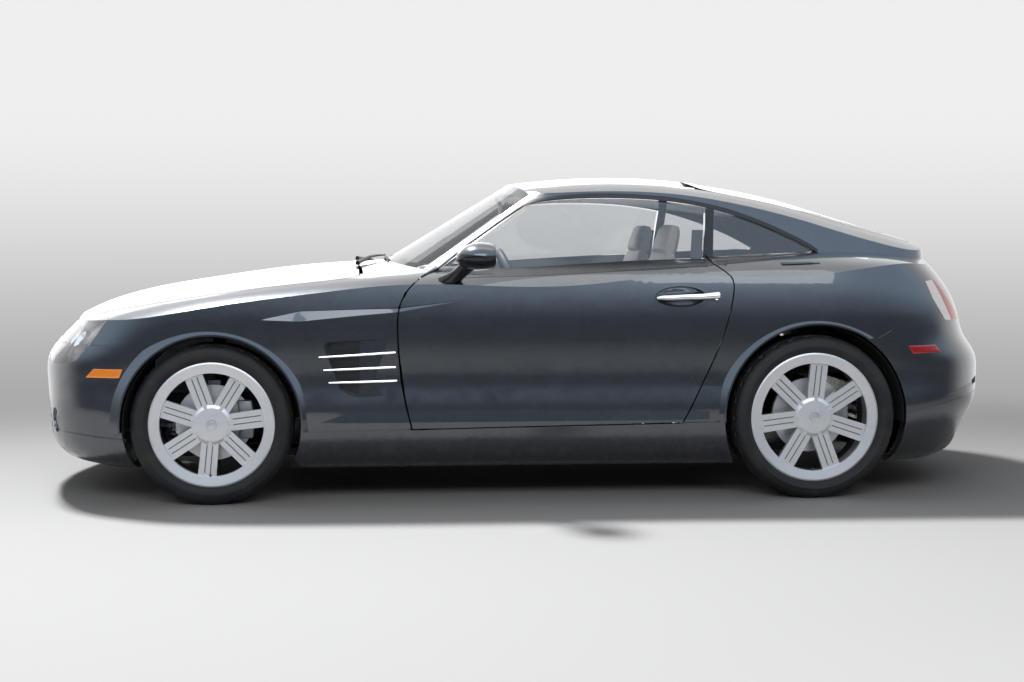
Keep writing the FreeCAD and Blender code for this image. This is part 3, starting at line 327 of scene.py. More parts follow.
@dataclass(frozen=True)
class MetallicPaint:
    """Clear-coated metallic body paint with fine flakes and a little road dust low down."""

    base: Colour = (0.024, 0.028, 0.034)
    flake: Colour = (0.120, 0.142, 0.170)
    roughness: float = 0.27

    def make(self, name: str) -> bpy.types.Material:
        """The finish as a material."""
        g = Graph(name)
        flakes = g.cells(2600.0, out="Color")
        sparkle = g.add("ShaderNodeSeparateColor", {}, {"Color": flakes})
        cloud = g.noise(9.0, 3.0)
        _, _, height = g.axes()
        dust = (1.0 - height.ramped(0.13, 0.34)) * g.noise(22.0, 5.0).ramped(0.40, 0.75)
        tone = g.blend(sparkle ** 3.0 * 0.6 + cloud * 0.18, self.base, self.flake)
        colour = g.blend(dust * 0.22, tone, (0.19, 0.18, 0.165))
        rough = sparkle * 0.10 + (self.roughness - 0.05) + dust * 0.25
        coat = 1.0 - dust * 0.5
        normal = g.bump(g.noise(140.0, 1.0), 0.00004, 0.5)
        return g.surface(Base_Color=colour, Metallic=0.72, Roughness=rough, Normal=normal, Coat_Weight=coat,
                         Coat_Roughness=0.025, Coat_IOR=1.65)


@dataclass(frozen=True)
class WindowGlass:
    """Clear automotive glass with a faint tint, denser where it is seen along its face."""

    tint: Colour = (0.045, 0.060, 0.068)
    weight: float = 0.12

    def make(self, name: str) -> bpy.types.Material:
        """The finish as a material."""
        g = Graph(name)
        smear = g.noise(14.0, 4.0, (1.0, 1.0, 2.5))
        alpha = g.facing(0.28) ** 2.4 * 0.82 + self.weight + smear * 0.03
        return g.surface(Base_Color=self.tint, Roughness=smear * 0.02 + 0.012, Alpha=alpha, IOR=2.4,
                         Specular_IOR_Level=1.0)


@dataclass(frozen=True)
class Lens:
    """A moulded lamp lens with fine optic ribs under a gloss face, and a faint painted glow in its own colour.
    """

    colour: Colour
    alpha: float
    rib_pitch: float = 0.009
    glow: float = 0.0

    def make(self, name: str) -> bpy.types.Material:
        """The finish as a material."""
        g = Graph(name)
        x, _, z = g.axes()
        ribs = g.ribs(x + z * 0.25, self.rib_pitch)
        # painted shade: the colour darkens to a deeper copy in the valleys of the optic ribs
        deep = tuple(c * 0.55 for c in self.colour)
        colour = g.blend(ribs * 0.7 + g.noise(60.0) * 0.3, deep, self.colour)
        alpha = g.facing(0.3) ** 2.0 * (1.0 - self.alpha) + self.alpha
        # painted glow: the emission brightens the unlit lens in its own colour
        return g.surface(Base_Color=colour, Roughness=g.noise(35.0, 3.0) * 0.06 + 0.04, Alpha=alpha,
                         Normal=g.bump(ribs, 0.0006, 0.5), Coat_Weight=1.0, Coat_Roughness=0.02,
                         Emission_Color=colour, Emission_Strength=self.glow)


@dataclass(frozen=True)
class TailLens:
    """A tail lamp in side view: a clear band along the body's edge, and ribbed red behind it, with a faint
    painted glow.
    """

    clear: Colour = (0.80, 0.80, 0.81)
    red: Colour = (0.46, 0.010, 0.014)
    edge: Span = (1.649, 0.831)
    rib_pitch: float = 0.007

    def make(self, name: str) -> bpy.types.Material:
        """The finish as a material."""
        g = Graph(name)
        x, _, z = g.axes()
        depth = (x - self.edge[0]) * 0.80 + (z - self.edge[1]) * 0.60
        border = (z - 0.700) * 0.16 + 0.004
        behind = (depth - border).ramped(-0.0008, 0.0008)
        ribs = g.ribs(z, self.rib_pitch)
        rim = 1.0 - abs(depth - border).ramped(0.0, 0.0035)
        tone = g.blend(behind, self.clear, self.red)
        shaded = g.blend(ribs * 0.18 + g.noise(60.0) * 0.10, tone, (0.30, 0.05, 0.05))
        colour = g.blend(rim * 0.6, shaded, (0.10, 0.02, 0.02))
        # painted glow: the emission brightens the whole unlit lens, the clear band too
        return g.surface(Base_Color=colour, Roughness=g.noise(35.0, 3.0) * 0.06 + 0.05,
                         Normal=g.bump(ribs, 0.0005, 0.4), Coat_Weight=0.35, Coat_Roughness=0.03,
                         Specular_IOR_Level=0.35, Emission_Color=colour, Emission_Strength=0.22)


@dataclass(frozen=True)
class Metal:
    """Bare or plated metal with a fine grain along one axis and handling wear."""

    colour: Colour
    roughness: float
    grain: Point = (1.0, 30.0, 30.0)
    metallic: float = 1.0
    soil: float = 0.1

    def make(self, name: str) -> bpy.types.Material:
        """The finish as a material."""
        g = Graph(name)
        lines = g.noise(60.0, 4.0, self.grain)
        patches = g.noise(18.0, 4.0)
        dull = tuple(c * 0.55 for c in self.colour)
        colour = g.blend(patches.ramped(0.45, 0.85) * self.soil, self.colour, dull)
        rough = lines * 0.12 + patches * 0.10 + (self.roughness - 0.10)
        return g.surface(Base_Color=colour, Metallic=self.metallic, Roughness=rough,
                         Normal=g.bump(lines, 0.00006, 0.35))


@dataclass(frozen=True)
class RimSilver:
    """Silver wheel lacquer with painted shade in the spoke grooves, and turned brake steel where the wheel is
    deep.
    """

    centre: Span = (0.0, 0.0)
    radius: float = 0.246
    turn: float = 7.0
    spokes: int = 7
    steel_ends: Span = (0.736, 0.746)
    silver: Colour = (0.70, 0.71, 0.73)
    disc: Colour = (0.10, 0.10, 0.10)

    def make(self, name: str) -> bpy.types.Material:
        """The finish as a material, with bare steel behind the wheel's outer face."""
        g = Graph(name)
        x, y, z = g.axes()
        inner = 1.0 - abs(y).ramped(*self.steel_ends)
        across, up = x - self.centre[0], z - self.centre[1]
        reach = (across * across + up * up) ** 0.5
        angle = g.add("ShaderNodeMath", {"operation": "ARCTAN2"}, {0: up, 1: across})
        half = math.pi / self.spokes
        turned_back = angle - math.radians(self.turn)
        fold = g.add("ShaderNodeMath", {"operation": "WRAP"}, {0: turned_back, 1: half, 2: -half})
        beside = abs(abs(fold * reach) - 0.011)
        spoke = reach.above(0.084) * reach.below(self.radius - 0.052)
        # painted shade: the spoke grooves are found by folding the angle round the wheel and darkened in the
        # colour
        groove = (1.0 - beside.ramped(0.0016, 0.0026)) * spoke
        turned = g.noise(420.0, 1.0, (1.0, 0.15, 1.0))
        fleck = g.cells(3200.0)
        bright = g.blend(fleck * 0.35, self.silver, (0.80, 0.81, 0.83))
        dusty = g.blend(g.noise(30.0, 5.0).ramped(0.5, 0.85) * 0.25, bright, (0.42, 0.40, 0.38))
        # the grooves' painted shade goes into the colour here
        groove_shaded = g.blend(groove * 0.85, dusty, (0.045, 0.045, 0.048))
        colour = g.blend(inner, groove_shaded, self.disc)
        rough = inner * 0.12 + fleck * 0.08 + 0.32
        return g.surface(Base_Color=colour, Metallic=0.45, Roughness=rough, Coat_Weight=(1.0 - inner) * 0.8,
                         Coat_Roughness=0.06, Normal=g.bump(turned, 0.00003, 0.3))


@dataclass(frozen=True)
class MouldedPlastic:
    """Moulded plastic with a leather-like grain and slight fading in patches."""

    colour: Colour
    roughness: float = 0.5
    grain: float = 900.0
    depth: float = 0.00012

    def make(self, name: str) -> bpy.types.Material:
        """The finish as a material."""
        g = Graph(name)
        pebble = g.cells(self.grain, "SMOOTH_F1")
        worn = g.noise(16.0, 4.0)
        pale = tuple(c * 1.5 + 0.006 for c in self.colour)
        colour = g.blend(worn.ramped(0.35, 0.8) * 0.6, self.colour, pale)
        rough = worn * 0.16 + pebble * 0.10 + (self.roughness - 0.12)
        return g.surface(Base_Color=colour, Roughness=rough, Normal=g.bump(pebble, self.depth, 0.7))


@dataclass(frozen=True)
class TyreRubber:
    """Black tyre rubber with patches of dust."""

    wall: Colour = (0.012, 0.012, 0.013)
    dust: Colour = (0.075, 0.070, 0.064)

    def make(self, name: str) -> bpy.types.Material:
        """The finish as a material."""
        g = Graph(name)
        grit = g.noise(260.0, 6.0)
        cloud = g.noise(12.0, 5.0)
        colour = g.blend(cloud.ramped(0.35, 0.8) * 0.32, self.wall, self.dust)
        return g.surface(Base_Color=colour, Roughness=cloud * 0.2 + 0.52, Normal=g.bump(grit, 0.0003, 0.5),
                         Specular_IOR_Level=0.35)


@dataclass(frozen=True)
class Leather:
    """Soft seat leather with pores, wrinkles and rubbed high spots."""

    hide: Colour = (0.62, 0.585, 0.53)
    rubbed: Colour = (0.74, 0.71, 0.66)

    def make(self, name: str) -> bpy.types.Material:
        """The finish as a material."""
        g = Graph(name)
        pores = g.cells(520.0, "SMOOTH_F1")
        creases = g.noise(38.0, 6.0)
        colour = g.blend(creases.ramped(0.35, 0.75), self.hide, self.rubbed)
        height = pores * 0.5 + creases * 1.4
        return g.surface(Base_Color=colour, Roughness=pores * 0.12 + creases * 0.15 + 0.36,
                         Normal=g.bump(height, 0.0007, 0.6), Sheen_Weight=0.15)


@dataclass(frozen=True)
class StageFinish:
    """A pale matt ground with painted shade that darkens it behind the car, and which fades into the backdrop
    all round.
    """

    near: Colour = (0.56, 0.56, 0.56)
    far: Colour = (0.18, 0.18, 0.18)

    def make(self, name: str) -> bpy.types.Material:
        """The finish as a material."""
        g = Graph(name)
        x, y, _ = g.axes()
        # painted shade: the ground's colour falls from near to far behind the car
        tone = g.blend(y.ramped(-3.4, 2.6), self.near, self.far)
        mottled = g.blend(g.noise(0.9, 3.0) * 0.04, tone, (0.30, 0.30, 0.30))
        reach = (x * x * 0.32 + (y + 0.7) * (y + 0.7)) ** 0.5
        return g.surface(Base_Color=mottled, Roughness=0.85, Specular_IOR_Level=0.0,
                         Alpha=1.0 - reach.ramped(1.9, 4.6))


class Palette:
    """Every finish of the car, each made once."""

    def __init__(self) -> None:
        """Make the materials."""
        self.paint = MetallicPaint().make("graphite_paint")
        self.glass = WindowGlass().make("window_glass")
        self.clear_lens = Lens((0.86, 0.88, 0.90), 0.20, 0.012).make("clear_lens")
        # the red and amber lenses carry a faint painted glow
        self.red_lens = Lens((0.50, 0.012, 0.012), 0.93, 0.006, 0.10).make("red_lens")
        self.tail_lens = TailLens().make("tail_lens")
        self.amber_lens = Lens((0.92, 0.27, 0.015), 0.95, 0.006, 0.25).make("amber_lens")
        self.chrome = Metal((0.86, 0.87, 0.88), 0.13, soil=0.05).make("bright_chrome")
        self.satin = Metal((0.62, 0.63, 0.65), 0.30).make("satin_aluminium")
        self.exhaust = Metal((0.60, 0.58, 0.55), 0.26, (30.0, 1.0, 1.0), soil=0.5).make("exhaust_steel")
        self.cast = Metal((0.33, 0.33, 0.34), 0.55, (1.0, 1.0, 1.0), 0.85, 0.7).make("cast_alloy")
        self.chassis = MouldedPlastic((0.025, 0.025, 0.027), 0.55, 300.0).make("chassis_coating")
        self.rim = RimSilver().make("wheel_silver")
        self.rims = {
            f"rim_{axle.corner(side)}": RimSilver(
                (axle.x, axle.radius), axle.rim_radius, -side.value * axle.spoke_turn
            ).make(f"wheel_silver_{axle.corner(side)}")
            for axle in AXLES for side in Side
        }
        self.trim = MouldedPlastic((0.012, 0.012, 0.013), 0.42).make("black_trim")
        gloss = MouldedPlastic((0.008, 0.008, 0.009), 0.16, 1800.0, 0.00002)
        self.gloss_trim = gloss.make("black_gloss_trim")
        self.cabin = MouldedPlastic((0.070, 0.073, 0.078), 0.55, 700.0).make("cabin_plastic")
        self.rubber = TyreRubber().make("tyre_rubber")
        self.leather = Leather().make("pale_leather")
        self.belt = MouldedPlastic((0.055, 0.055, 0.058), 0.7, 1400.0, 0.0002).make("belt_webbing")
        # near-black felt whose colour also stands for painted shade in the wheel arches and the door shut
        # lines
        self.felt = MouldedPlastic((0.006, 0.006, 0.006), 0.9, 500.0, 0.0003).make("arch_felt")
        self.carpet = MouldedPlastic((0.022, 0.022, 0.024), 0.95, 1200.0, 0.0006).make("cabin_carpet")
        self.stage = StageFinish().make("pale_ground")

    def by_slot(self) -> dict[str, bpy.types.Material]:
        """The finish that each slot's CAD nodes wear."""
        return {
            slot.value: finish for slot, finish in (
                (Slot.PAINT, self.paint), (Slot.GLASS, self.glass), (Slot.GRILLE, self.satin),
                (Slot.DARK, self.trim), (Slot.CLEAR_LAMP, self.clear_lens), (Slot.RED_LAMP, self.red_lens),
                (Slot.CABIN, self.cabin), (Slot.CHASSIS, self.chassis), (Slot.CAST, self.cast),
                (Slot.EXHAUST, self.exhaust), (Slot.LEATHER, self.leather), (Slot.RUBBER, self.rubber),
                (Slot.RIM, self.rim),
            )
        }


def dress_frame(palette: Palette) -> None:
    """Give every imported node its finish."""
    finishes = palette.by_slot()
    own = {f"tail_lamp_{side.label}": palette.tail_lens for side in Side} | palette.rims
    for part in frame["record"]["subparts"]:
        node = frame["nodes"].get(part["node"])
        if node is None:
            continue
        finish = own.get(part["node"], finishes[part["material_slot"]])
        for slot in node.material_slots:
            slot.material = finish
    log.info("dressed %d packed nodes", len(frame["nodes"]))


# Modelling helpers

def deselect() -> None:
    """Leave edit mode and select nothing."""
    if bpy.context.object and bpy.context.object.mode != "OBJECT":
        bpy.ops.object.mode_set(mode="OBJECT")
    bpy.ops.object.select_all(action="DESELECT")


def activate(piece: bpy.types.Object) -> None:
    """Select one object alone and make it active."""
    deselect()
    piece.select_set(True)
    bpy.context.view_layer.objects.active = piece


@contextmanager
def editing(piece: bpy.types.Object, selected: bool = False) -> Iterator[None]:
    """Work on one object in edit mode, with all of it selected or nothing."""
    activate(piece)
    bpy.ops.object.mode_set(mode="EDIT")
    bpy.ops.mesh.select_all(action="SELECT" if selected else "DESELECT")
    yield
    bpy.ops.object.mode_set(mode="OBJECT")


def select_faces(piece: bpy.types.Object, wanted: Callable[[bmesh.types.BMFace], bool]) -> None:
    """Select faces by a test while in edit mode.

    Args:
        piece: the object in edit mode.
        wanted: the test of one face.
    """
    bpy.ops.mesh.select_mode(type="FACE")
    mesh = bmesh.from_edit_mesh(piece.data)
    for face in mesh.faces:
        face.select_set(bool(wanted(face)))
    mesh.select_flush_mode()
    bmesh.update_edit_mesh(piece.data)


def apply_modifier(piece: bpy.types.Object, kind: str, **settings: object) -> None:
    """Add a modifier with its settings and apply it at once.

    Args:
        piece: the object.
        kind: the modifier's type.
        settings: its attributes.
    """
    activate(piece)
    modifier = piece.modifiers.new(kind.title(), kind)
    for key, value in settings.items():
        setattr(modifier, key, value)
    bpy.ops.object.modifier_apply(modifier=modifier.name)


def finish_piece(piece: bpy.types.Object, name: str, body: str, slot: Slot, material: bpy.types.Material,
                 angle: float = 35.0) -> bpy.types.Object:
    """Apply a piece's place, smooth it, dress it and put it on its body.

    Args:
        piece: the modelled object.
        name: its name.
        body: the CAD body that it rides on.
        slot: not used.
        material: its finish.
        angle: edges sharper than this many degrees stay crisp.

    Returns:
        The same object.
    """
    activate(piece)
    bpy.ops.object.transform_apply(location=True, rotation=True, scale=True)
    with editing(piece, selected=True):
        bpy.ops.mesh.normals_make_consistent(inside=False)
    bpy.ops.object.shade_smooth_by_angle(angle=math.radians(angle))
    piece.name = name
    piece.data.name = name
    piece.data.materials.clear()
    piece.data.materials.append(material)
    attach(piece, body)
    log.info("%s: %d faces on %s", name, len(piece.data.polygons), body)
    return piece


def joined(parts: Sequence[bpy.types.Object]) -> bpy.types.Object:
    """Join several mesh objects into the first."""
    activate(parts[0])
    for part in parts[1:]:
        part.select_set(True)
    if len(parts) > 1:
        bpy.ops.object.join()
    return parts[0]


def copied(piece: bpy.types.Object) -> bpy.types.Object:
    """A copy with its own mesh."""
    twin = piece.copy()
    twin.data = piece.data.copy()
    bpy.context.collection.objects.link(twin)
    return twin


def new_cube(centre: Point, size: Point) -> bpy.types.Object:
    """A box primitive with its size already in its mesh."""
    deselect()
    bpy.ops.mesh.primitive_cube_add(size=1.0, location=centre, scale=size)
    made = bpy.context.object
    bpy.ops.object.transform_apply(location=True, rotation=True, scale=True)
    return made


def rounded_box(centre: Point, size: Point, radius: float, segments: int = 3) -> bpy.types.Object:
    """A box with rounded edges, as the start of a moulded piece."""
    made = new_cube(centre, size)
    apply_modifier(made, "BEVEL", width=radius, segments=segments, limit_method="NONE")
    return made


def swept(points: Sequence[Point], radius: float, sides: int = 4,
          tapers: Sequence[float] | None = None) -> bpy.types.Object:
    """A bar swept along a smooth line through points, made a mesh.

    Args:
        points: the line's points.
        radius: half the bar's width.
        sides: the bevel's resolution.
        tapers: the radius at each point as a share of the whole.

    Returns:
        The mesh object.
    """
    deselect()
    bpy.ops.curve.primitive_nurbs_path_add(location=(0, 0, 0))
    path = bpy.context.object
    path.data.splines.clear()
    spline = path.data.splines.new("NURBS")
    spline.points.add(len(points) - 1)
    for i, (slot, point) in enumerate(zip(spline.points, points)):
        slot.co = (*point, 1.0)
        slot.radius = tapers[i] if tapers else 1.0
    spline.order_u = min(3, len(points))
    spline.use_endpoint_u = True
    spline.resolution_u = 6
    path.data.dimensions = "3D"
    path.data.bevel_depth = radius
    path.data.bevel_resolution = sides
    path.data.use_fill_caps = True
    path.data.twist_mode = "Z_UP"
    activate(path)
    bpy.ops.object.convert(target="MESH")
    return bpy.context.object


def conformed(columns: int, rows: int, place: Callable[[float, float], Vector], outward: Point,
              thickness: float, bevel: float = 0.0) -> bpy.types.Object:
    """Lay a grid on the body by a map, then give it a thickness and rounded edges.

    Args:
        columns: cells along u.
        rows: cells along v.
        place: the map from (u, v), each from zero to one, to a point.
        outward: the way that the thickness grows.
        thickness: how far the piece stands out.
        bevel: the radius of its edges.

    Returns:
        The mesh object.
    """
    deselect()
    bpy.ops.mesh.primitive_grid_add(x_subdivisions=columns, y_subdivisions=rows, size=2.0)
    piece = bpy.context.object
    for vertex in piece.data.vertices:
        vertex.co = place((vertex.co.x + 1.0) / 2.0, (vertex.co.y + 1.0) / 2.0)
    piece.data.update()
    facing = sum((p.normal * p.area for p in piece.data.polygons), Vector()).dot(Vector(outward))
    if facing < 0:
        with editing(piece, selected=True):
            bpy.ops.mesh.flip_normals()
    apply_modifier(piece, "SOLIDIFY", thickness=thickness, offset=1.0)
    if bevel:
        apply_modifier(piece, "BEVEL", width=bevel, segments=2, limit_method="ANGLE")
    return piece


def between(ends: Span, share: float) -> float:
    """The value at a share of the way from one to the other."""
    return ends[0] + (ends[1] - ends[0]) * share


def in_quad(corners: Sequence[Span], u: float, v: float) -> Vector:
    """The (x, z) point at (u, v) of four corners, given along the low edge and back along the high one."""
    low, low_end, high_end, high = (Vector(corner) for corner in corners)
    return low.lerp(low_end, u).lerp(high.lerp(high_end, u), v)


def along(points: Sequence[Span], share: float) -> Span:
    """The place at a share of a polyline's length."""
    lengths = [math.dist(a, b) for a, b in zip(points, points[1:])]
    rest = max(0.0, min(1.0, share)) * sum(lengths)
    for (a, b), length in zip(zip(points, points[1:]), lengths):
        if rest <= length or (a, b) == (points[-2], points[-1]):
            t = rest / length if length else 0.0
            return between((a[0], b[0]), t), between((a[1], b[1]), t)
        rest -= length
    return points[-1]


class BodySurface:
    """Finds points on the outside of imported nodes, so that trim sits on them."""

    def __init__(self, *nodes: str) -> None:
        """Gather the nodes' triangles.

        Args:
            nodes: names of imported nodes.
        """
        points: list[Vector] = []
        faces: list[tuple[int, ...]] = []
        for name in nodes:
            piece = frame["nodes"][name]
            start = len(points)
            points += [piece.matrix_world @ v.co for v in piece.data.vertices]
            faces += [tuple(start + i for i in p.vertices) for p in piece.data.polygons]
        self.tree = BVHTree.FromPolygons(points, faces)

    def hit(self, start: Point, way: Point) -> tuple[Vector, Vector] | None:
        """The first point met from a place along a direction, and the normal there."""
        place, normal, _, _ = self.tree.ray_cast(Vector(start), Vector(way))
        if place is None:
            return None
        if normal.dot(Vector(way)) > 0:
            normal.negate()
        return place, normal

    def beside(self, x: float, z: float, side: Side, lift: float = 0.0) -> Vector:
        """The point of the body side at (x, z), lifted off along its normal."""
        found = self.hit((x, side.value * 2.0, z), (0, -side.value, 0))
        if found is None:
            near, normal, _, _ = self.tree.find_nearest(Vector((x, side.value * 0.8, z)))
            found = (near, normal if normal.y * side.value > 0 else -normal)
        return found[0] + found[1] * lift

    def over(self, x: float, y: float, lift: float = 0.0) -> Vector:
        """The point of the upper surface at (x, y), lifted off along its normal."""
        found = self.hit((x, y, 3.0), (0, 0, -1))
        if found is None:
            near, normal, _, _ = self.tree.find_nearest(Vector((x, y, 1.2)))
            found = (near, normal)
        return found[0] + found[1] * lift


# Wheels

@dataclass
class RoadTyre:
    """A low-profile tyre with grooved tread and ribbed walls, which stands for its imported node."""

    corner: str
    centre: Point
    radius: float
    width: float
    rim_radius: float
    steps: int = 90
    groove: float = 0.006

    def profile(self) -> list[tuple[float, float]]:
        """The section's outline as (radius, offset) points, outer wall to inner wall and back inside."""
        r, h, rim = self.radius, self.width / 2, self.rim_radius
        deep = r - self.groove
        half = [
            (rim - 0.0098, h - 0.0312), (rim + 0.0006, h - 0.0272), (rim + 0.0008, h - 0.019),
            (rim + 0.0095, h - 0.0075), (rim + 0.013, h - 0.0062), (rim + 0.015, h - 0.0035),
            (rim + 0.028, h), (r - 0.040, h - 0.0005),
            (r - 0.026, h - 0.003), (r - 0.020, h - 0.0045), (r - 0.009, h - 0.014), (r - 0.002, h - 0.028),
            (r - 0.0005, h - 0.036), (deep, h - 0.038), (deep, h - 0.044), (r, h - 0.046),
            (r, h - 0.075), (deep, h - 0.077), (deep, h - 0.083), (r, h - 0.085),
        ]
        outline = half + [(a, -b) for a, b in reversed(half)]
        inner = [(rim - 0.0126, -(h - 0.044)), (rim + 0.020, -(h - 0.030)), (r - 0.026, -(h - 0.016)),
                 (r - 0.013, 0.0), (r - 0.026, h - 0.016), (rim + 0.020, h - 0.030),
                 (rim - 0.0126, h - 0.044)]
        return outline + inner

    def build(self, palette: Palette) -> bpy.types.Object:
        """Model the tyre.

        Args:
            palette: the finishes.

        Returns:
            The tyre's object.
        """
        x, y, z = self.centre
        outline = self.profile()
        mesh = bpy.data.meshes.new("tyre_section")
        corners = [(x, y + offset, z + radius) for radius, offset in outline]
        mesh.from_pydata(corners, [(i, (i + 1) % len(corners)) for i in range(len(corners))], [])
        piece = bpy.data.objects.new("tyre_section", mesh)
        bpy.context.collection.objects.link(piece)
        with editing(piece, selected=True):
            bpy.ops.mesh.spin(steps=self.steps, angle=math.tau, center=self.centre, axis=(0, 1, 0))
            bpy.ops.mesh.select_all(action="SELECT")
            bpy.ops.mesh.remove_doubles(threshold=0.0002)
            bpy.ops.mesh.normals_make_consistent(inside=False)
            self.cut_lugs(piece)
        name, body = f"road_tyre_{self.corner}", f"wheel_{self.corner}"
        finish_piece(piece, name, body, Slot.RUBBER, palette.rubber, 28.0)
        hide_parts(f"tyre_{self.corner}")
        return piece

    def cut_lugs(self, piece: bpy.types.Object) -> None:
        """Sink slanted sipes across the shoulders and the middle ribs of the tread."""
        x, y, z = self.centre
        pitch = math.tau / self.steps
        half = self.width / 2

        def is_sipe(face: bmesh.types.BMFace) -> bool:
            middle = face.calc_center_median()
            reach = math.hypot(middle.x - x, middle.z - z)
            across = abs(middle.y - y)
            if reach < self.radius - 0.0085 or face.normal.y ** 2 > 0.9:
                return False
            outward = (face.normal.x * (middle.x - x) + face.normal.z * (middle.z - z)) / reach
            if outward < 0.5:
                return False
            step = int(math.atan2(middle.z - z, middle.x - x) / pitch + 1000)
            if across > half - 0.037:
                return step % 3 == 0
            if half - 0.076 < across < half - 0.045:
                return step % 3 == (1 if middle.y > y else 2)
            return False

        select_faces(piece, is_sipe)
        bpy.ops.mesh.inset(thickness=0.0035, depth=-0.0045, use_individual=False, use_even_offset=True)


@dataclass
class WheelDetail:
    """One wheel's small fittings: its valve, its cap's button and the caliper behind the spokes."""

    corner: str
    centre: Point
    rim_radius: float
    width: float
    carrier: str

    def build(self, palette: Palette) -> list[bpy.types.Object]:
        """Model the valve, the caliper and the button.

        Args:
            palette: the finishes.

        Returns:
            The new pieces.
        """
        return [self.valve(palette), self.caliper(palette), self.badge(palette)]

    def badge(self, palette: Palette) -> bpy.types.Object:
        """A small plain button in a dark ring, in the middle of the wheel's cap."""
        out = math.copysign(1.0, self.centre[1])
        cap = BodySurface(f"rim_{self.corner}")
        found = cap.hit((self.centre[0] + 0.006, out * 1.5, self.centre[2]), (0, -out, 0))
        face = found[0].y if found else self.centre[1]
        deselect()
        bpy.ops.mesh.primitive_circle_add(vertices=40, radius=0.0215, fill_type="NGON")
        button = bpy.context.object
        with editing(button, selected=True):
            for thickness, depth in ((0.0008, 0.0012), (0.0030, 0.0002), (0.0008, -0.0010), (0.0050, 0.0004),
                                     (0.0060, 0.0008)):
                bpy.ops.mesh.inset(thickness=thickness, depth=depth)
        turn = Vector((0, out, 0)).to_track_quat("Z", "X").to_matrix().to_4x4()
        seat = Matrix.Translation((self.centre[0], face + out * 0.0004, self.centre[2]))
        button.data.transform(seat @ turn)
        apply_modifier(button, "SOLIDIFY", thickness=0.0010, offset=-1.0)
        name, body = f"hub_badge_{self.corner}", f"wheel_{self.corner}"
        return finish_piece(button, name, body, Slot.GRILLE, palette.satin)

    def valve(self, palette: Palette) -> bpy.types.Object:
        """A short rubber valve with its cap, on the inside of the outer lip."""
        x, y, z = self.centre
        out = math.copysign(1.0, y)
        face = y + out * (self.width / 2 - 0.034)
        angle = math.radians(268.0)
        reach = self.rim_radius - 0.040
        tip_reach = reach - 0.012
        foot = (x + reach * math.cos(angle), face, z + reach * math.sin(angle))
        tip = (x + tip_reach * math.cos(angle), face + out * 0.020, z + tip_reach * math.sin(angle))
        middle = tuple((a + b) / 2 for a, b in zip(foot, tip))
        stem = swept([foot, middle, tip], 0.0042, sides=3, tapers=[1.25, 1.0, 0.85])
        name, body = f"valve_{self.corner}", f"wheel_{self.corner}"
        return finish_piece(stem, name, body, Slot.RUBBER, palette.trim)

    def caliper(self, palette: Palette) -> bpy.types.Object:
        """A cast brake caliper astride the disc, at the rear of the hub."""
        x, y, z = self.centre
        out = math.copysign(1.0, y)
        middle = (x + 0.128, y + out * (self.width / 2 - 0.125), z + 0.012)
        block = new_cube(middle, (0.052, 0.060, 0.150))
        with editing(block, selected=True):
            bpy.ops.mesh.subdivide(number_cuts=3)
            select_faces(block, lambda f: f.calc_center_median().x > x + 0.150)
            bpy.ops.mesh.extrude_region_shrink_fatten(TRANSFORM_OT_shrink_fatten={"value": 0.006})
        for vertex in block.data.vertices:
            lean = (vertex.co.z - z) / 0.15
            vertex.co.x -= 0.030 * lean * lean
        apply_modifier(block, "BEVEL", width=0.006, segments=2)
        return finish_piece(block, f"caliper_{self.corner}", self.carrier, Slot.CAST, palette.cast)


# Body trim

@dataclass
class SideVent:
    """Three bright strakes across the vent behind each front wheel."""

    rows: tuple[tuple[float, float, float, float], ...] = (
        (-0.846, 0.582, -0.546, 0.599), (-0.828, 0.531, -0.546, 0.541), (-0.808, 0.481, -0.541, 0.487),
    )
    thick: float = 0.0065

    def build(self, palette: Palette, side: Side) -> bpy.types.Object:
        """Model one side's strakes.

        Args:
            palette: the finishes.
            side: the car's side.

        Returns:
            The strakes as one piece.
        """
        wing = BodySurface(f"fender_{side.label}")
        bars = []
        for x0, z0, x1, z1 in self.rows:
            ends = [wing.beside(x0, z0, side), wing.beside(x1, z1, side)]
            line = []
            for share in (0.0, 0.12, 0.5, 0.88, 1.0):
                point = ends[0].lerp(ends[1], share)
                line.append((point.x, point.y + side.value * 0.004 * math.sin(math.pi * share), point.z))
            bars.append(swept(line, self.thick, sides=3, tapers=[0.45, 0.9, 1.0, 1.0, 0.8]))
        piece = joined(bars)
        return finish_piece(piece, f"vent_strakes_{side.label}", BODY, Slot.GRILLE, palette.chrome)


@dataclass
class VentMesh:
    """The dark mesh in the front of the side vent's hollow."""

    corners: tuple[Span, ...] = (
        (-0.752, 0.452), (-0.690, 0.436), (-0.688, 0.642), (-0.814, 0.636),
    )

    def build(self, palette: Palette, side: Side) -> bpy.types.Object:
        """Model one side's mesh as a thin ribbed insert.

        Args:
            palette: the finishes.
            side: the car's side.

        Returns:
            The insert.
        """
        wing = BodySurface(f"fender_{side.label}")

        def place(u: float, v: float) -> Vector:
            spot = in_quad(self.corners, u, v)
            spot.x -= 0.010 * math.sin(math.pi * v) * (1.0 - u)
            return wing.beside(spot.x, spot.y, side, 0.0008)

        insert = conformed(16, 30, place, side.outward, 0.001)
        with editing(insert):
            select_faces(insert, lambda f: f.normal.y * side.value > 0.5 and f.calc_area() > 1e-6)
            bpy.ops.mesh.inset(thickness=0.0007, depth=-0.0006, use_individual=True)
        return finish_piece(insert, f"vent_mesh_{side.label}", BODY, Slot.DARK, palette.trim, 20.0)


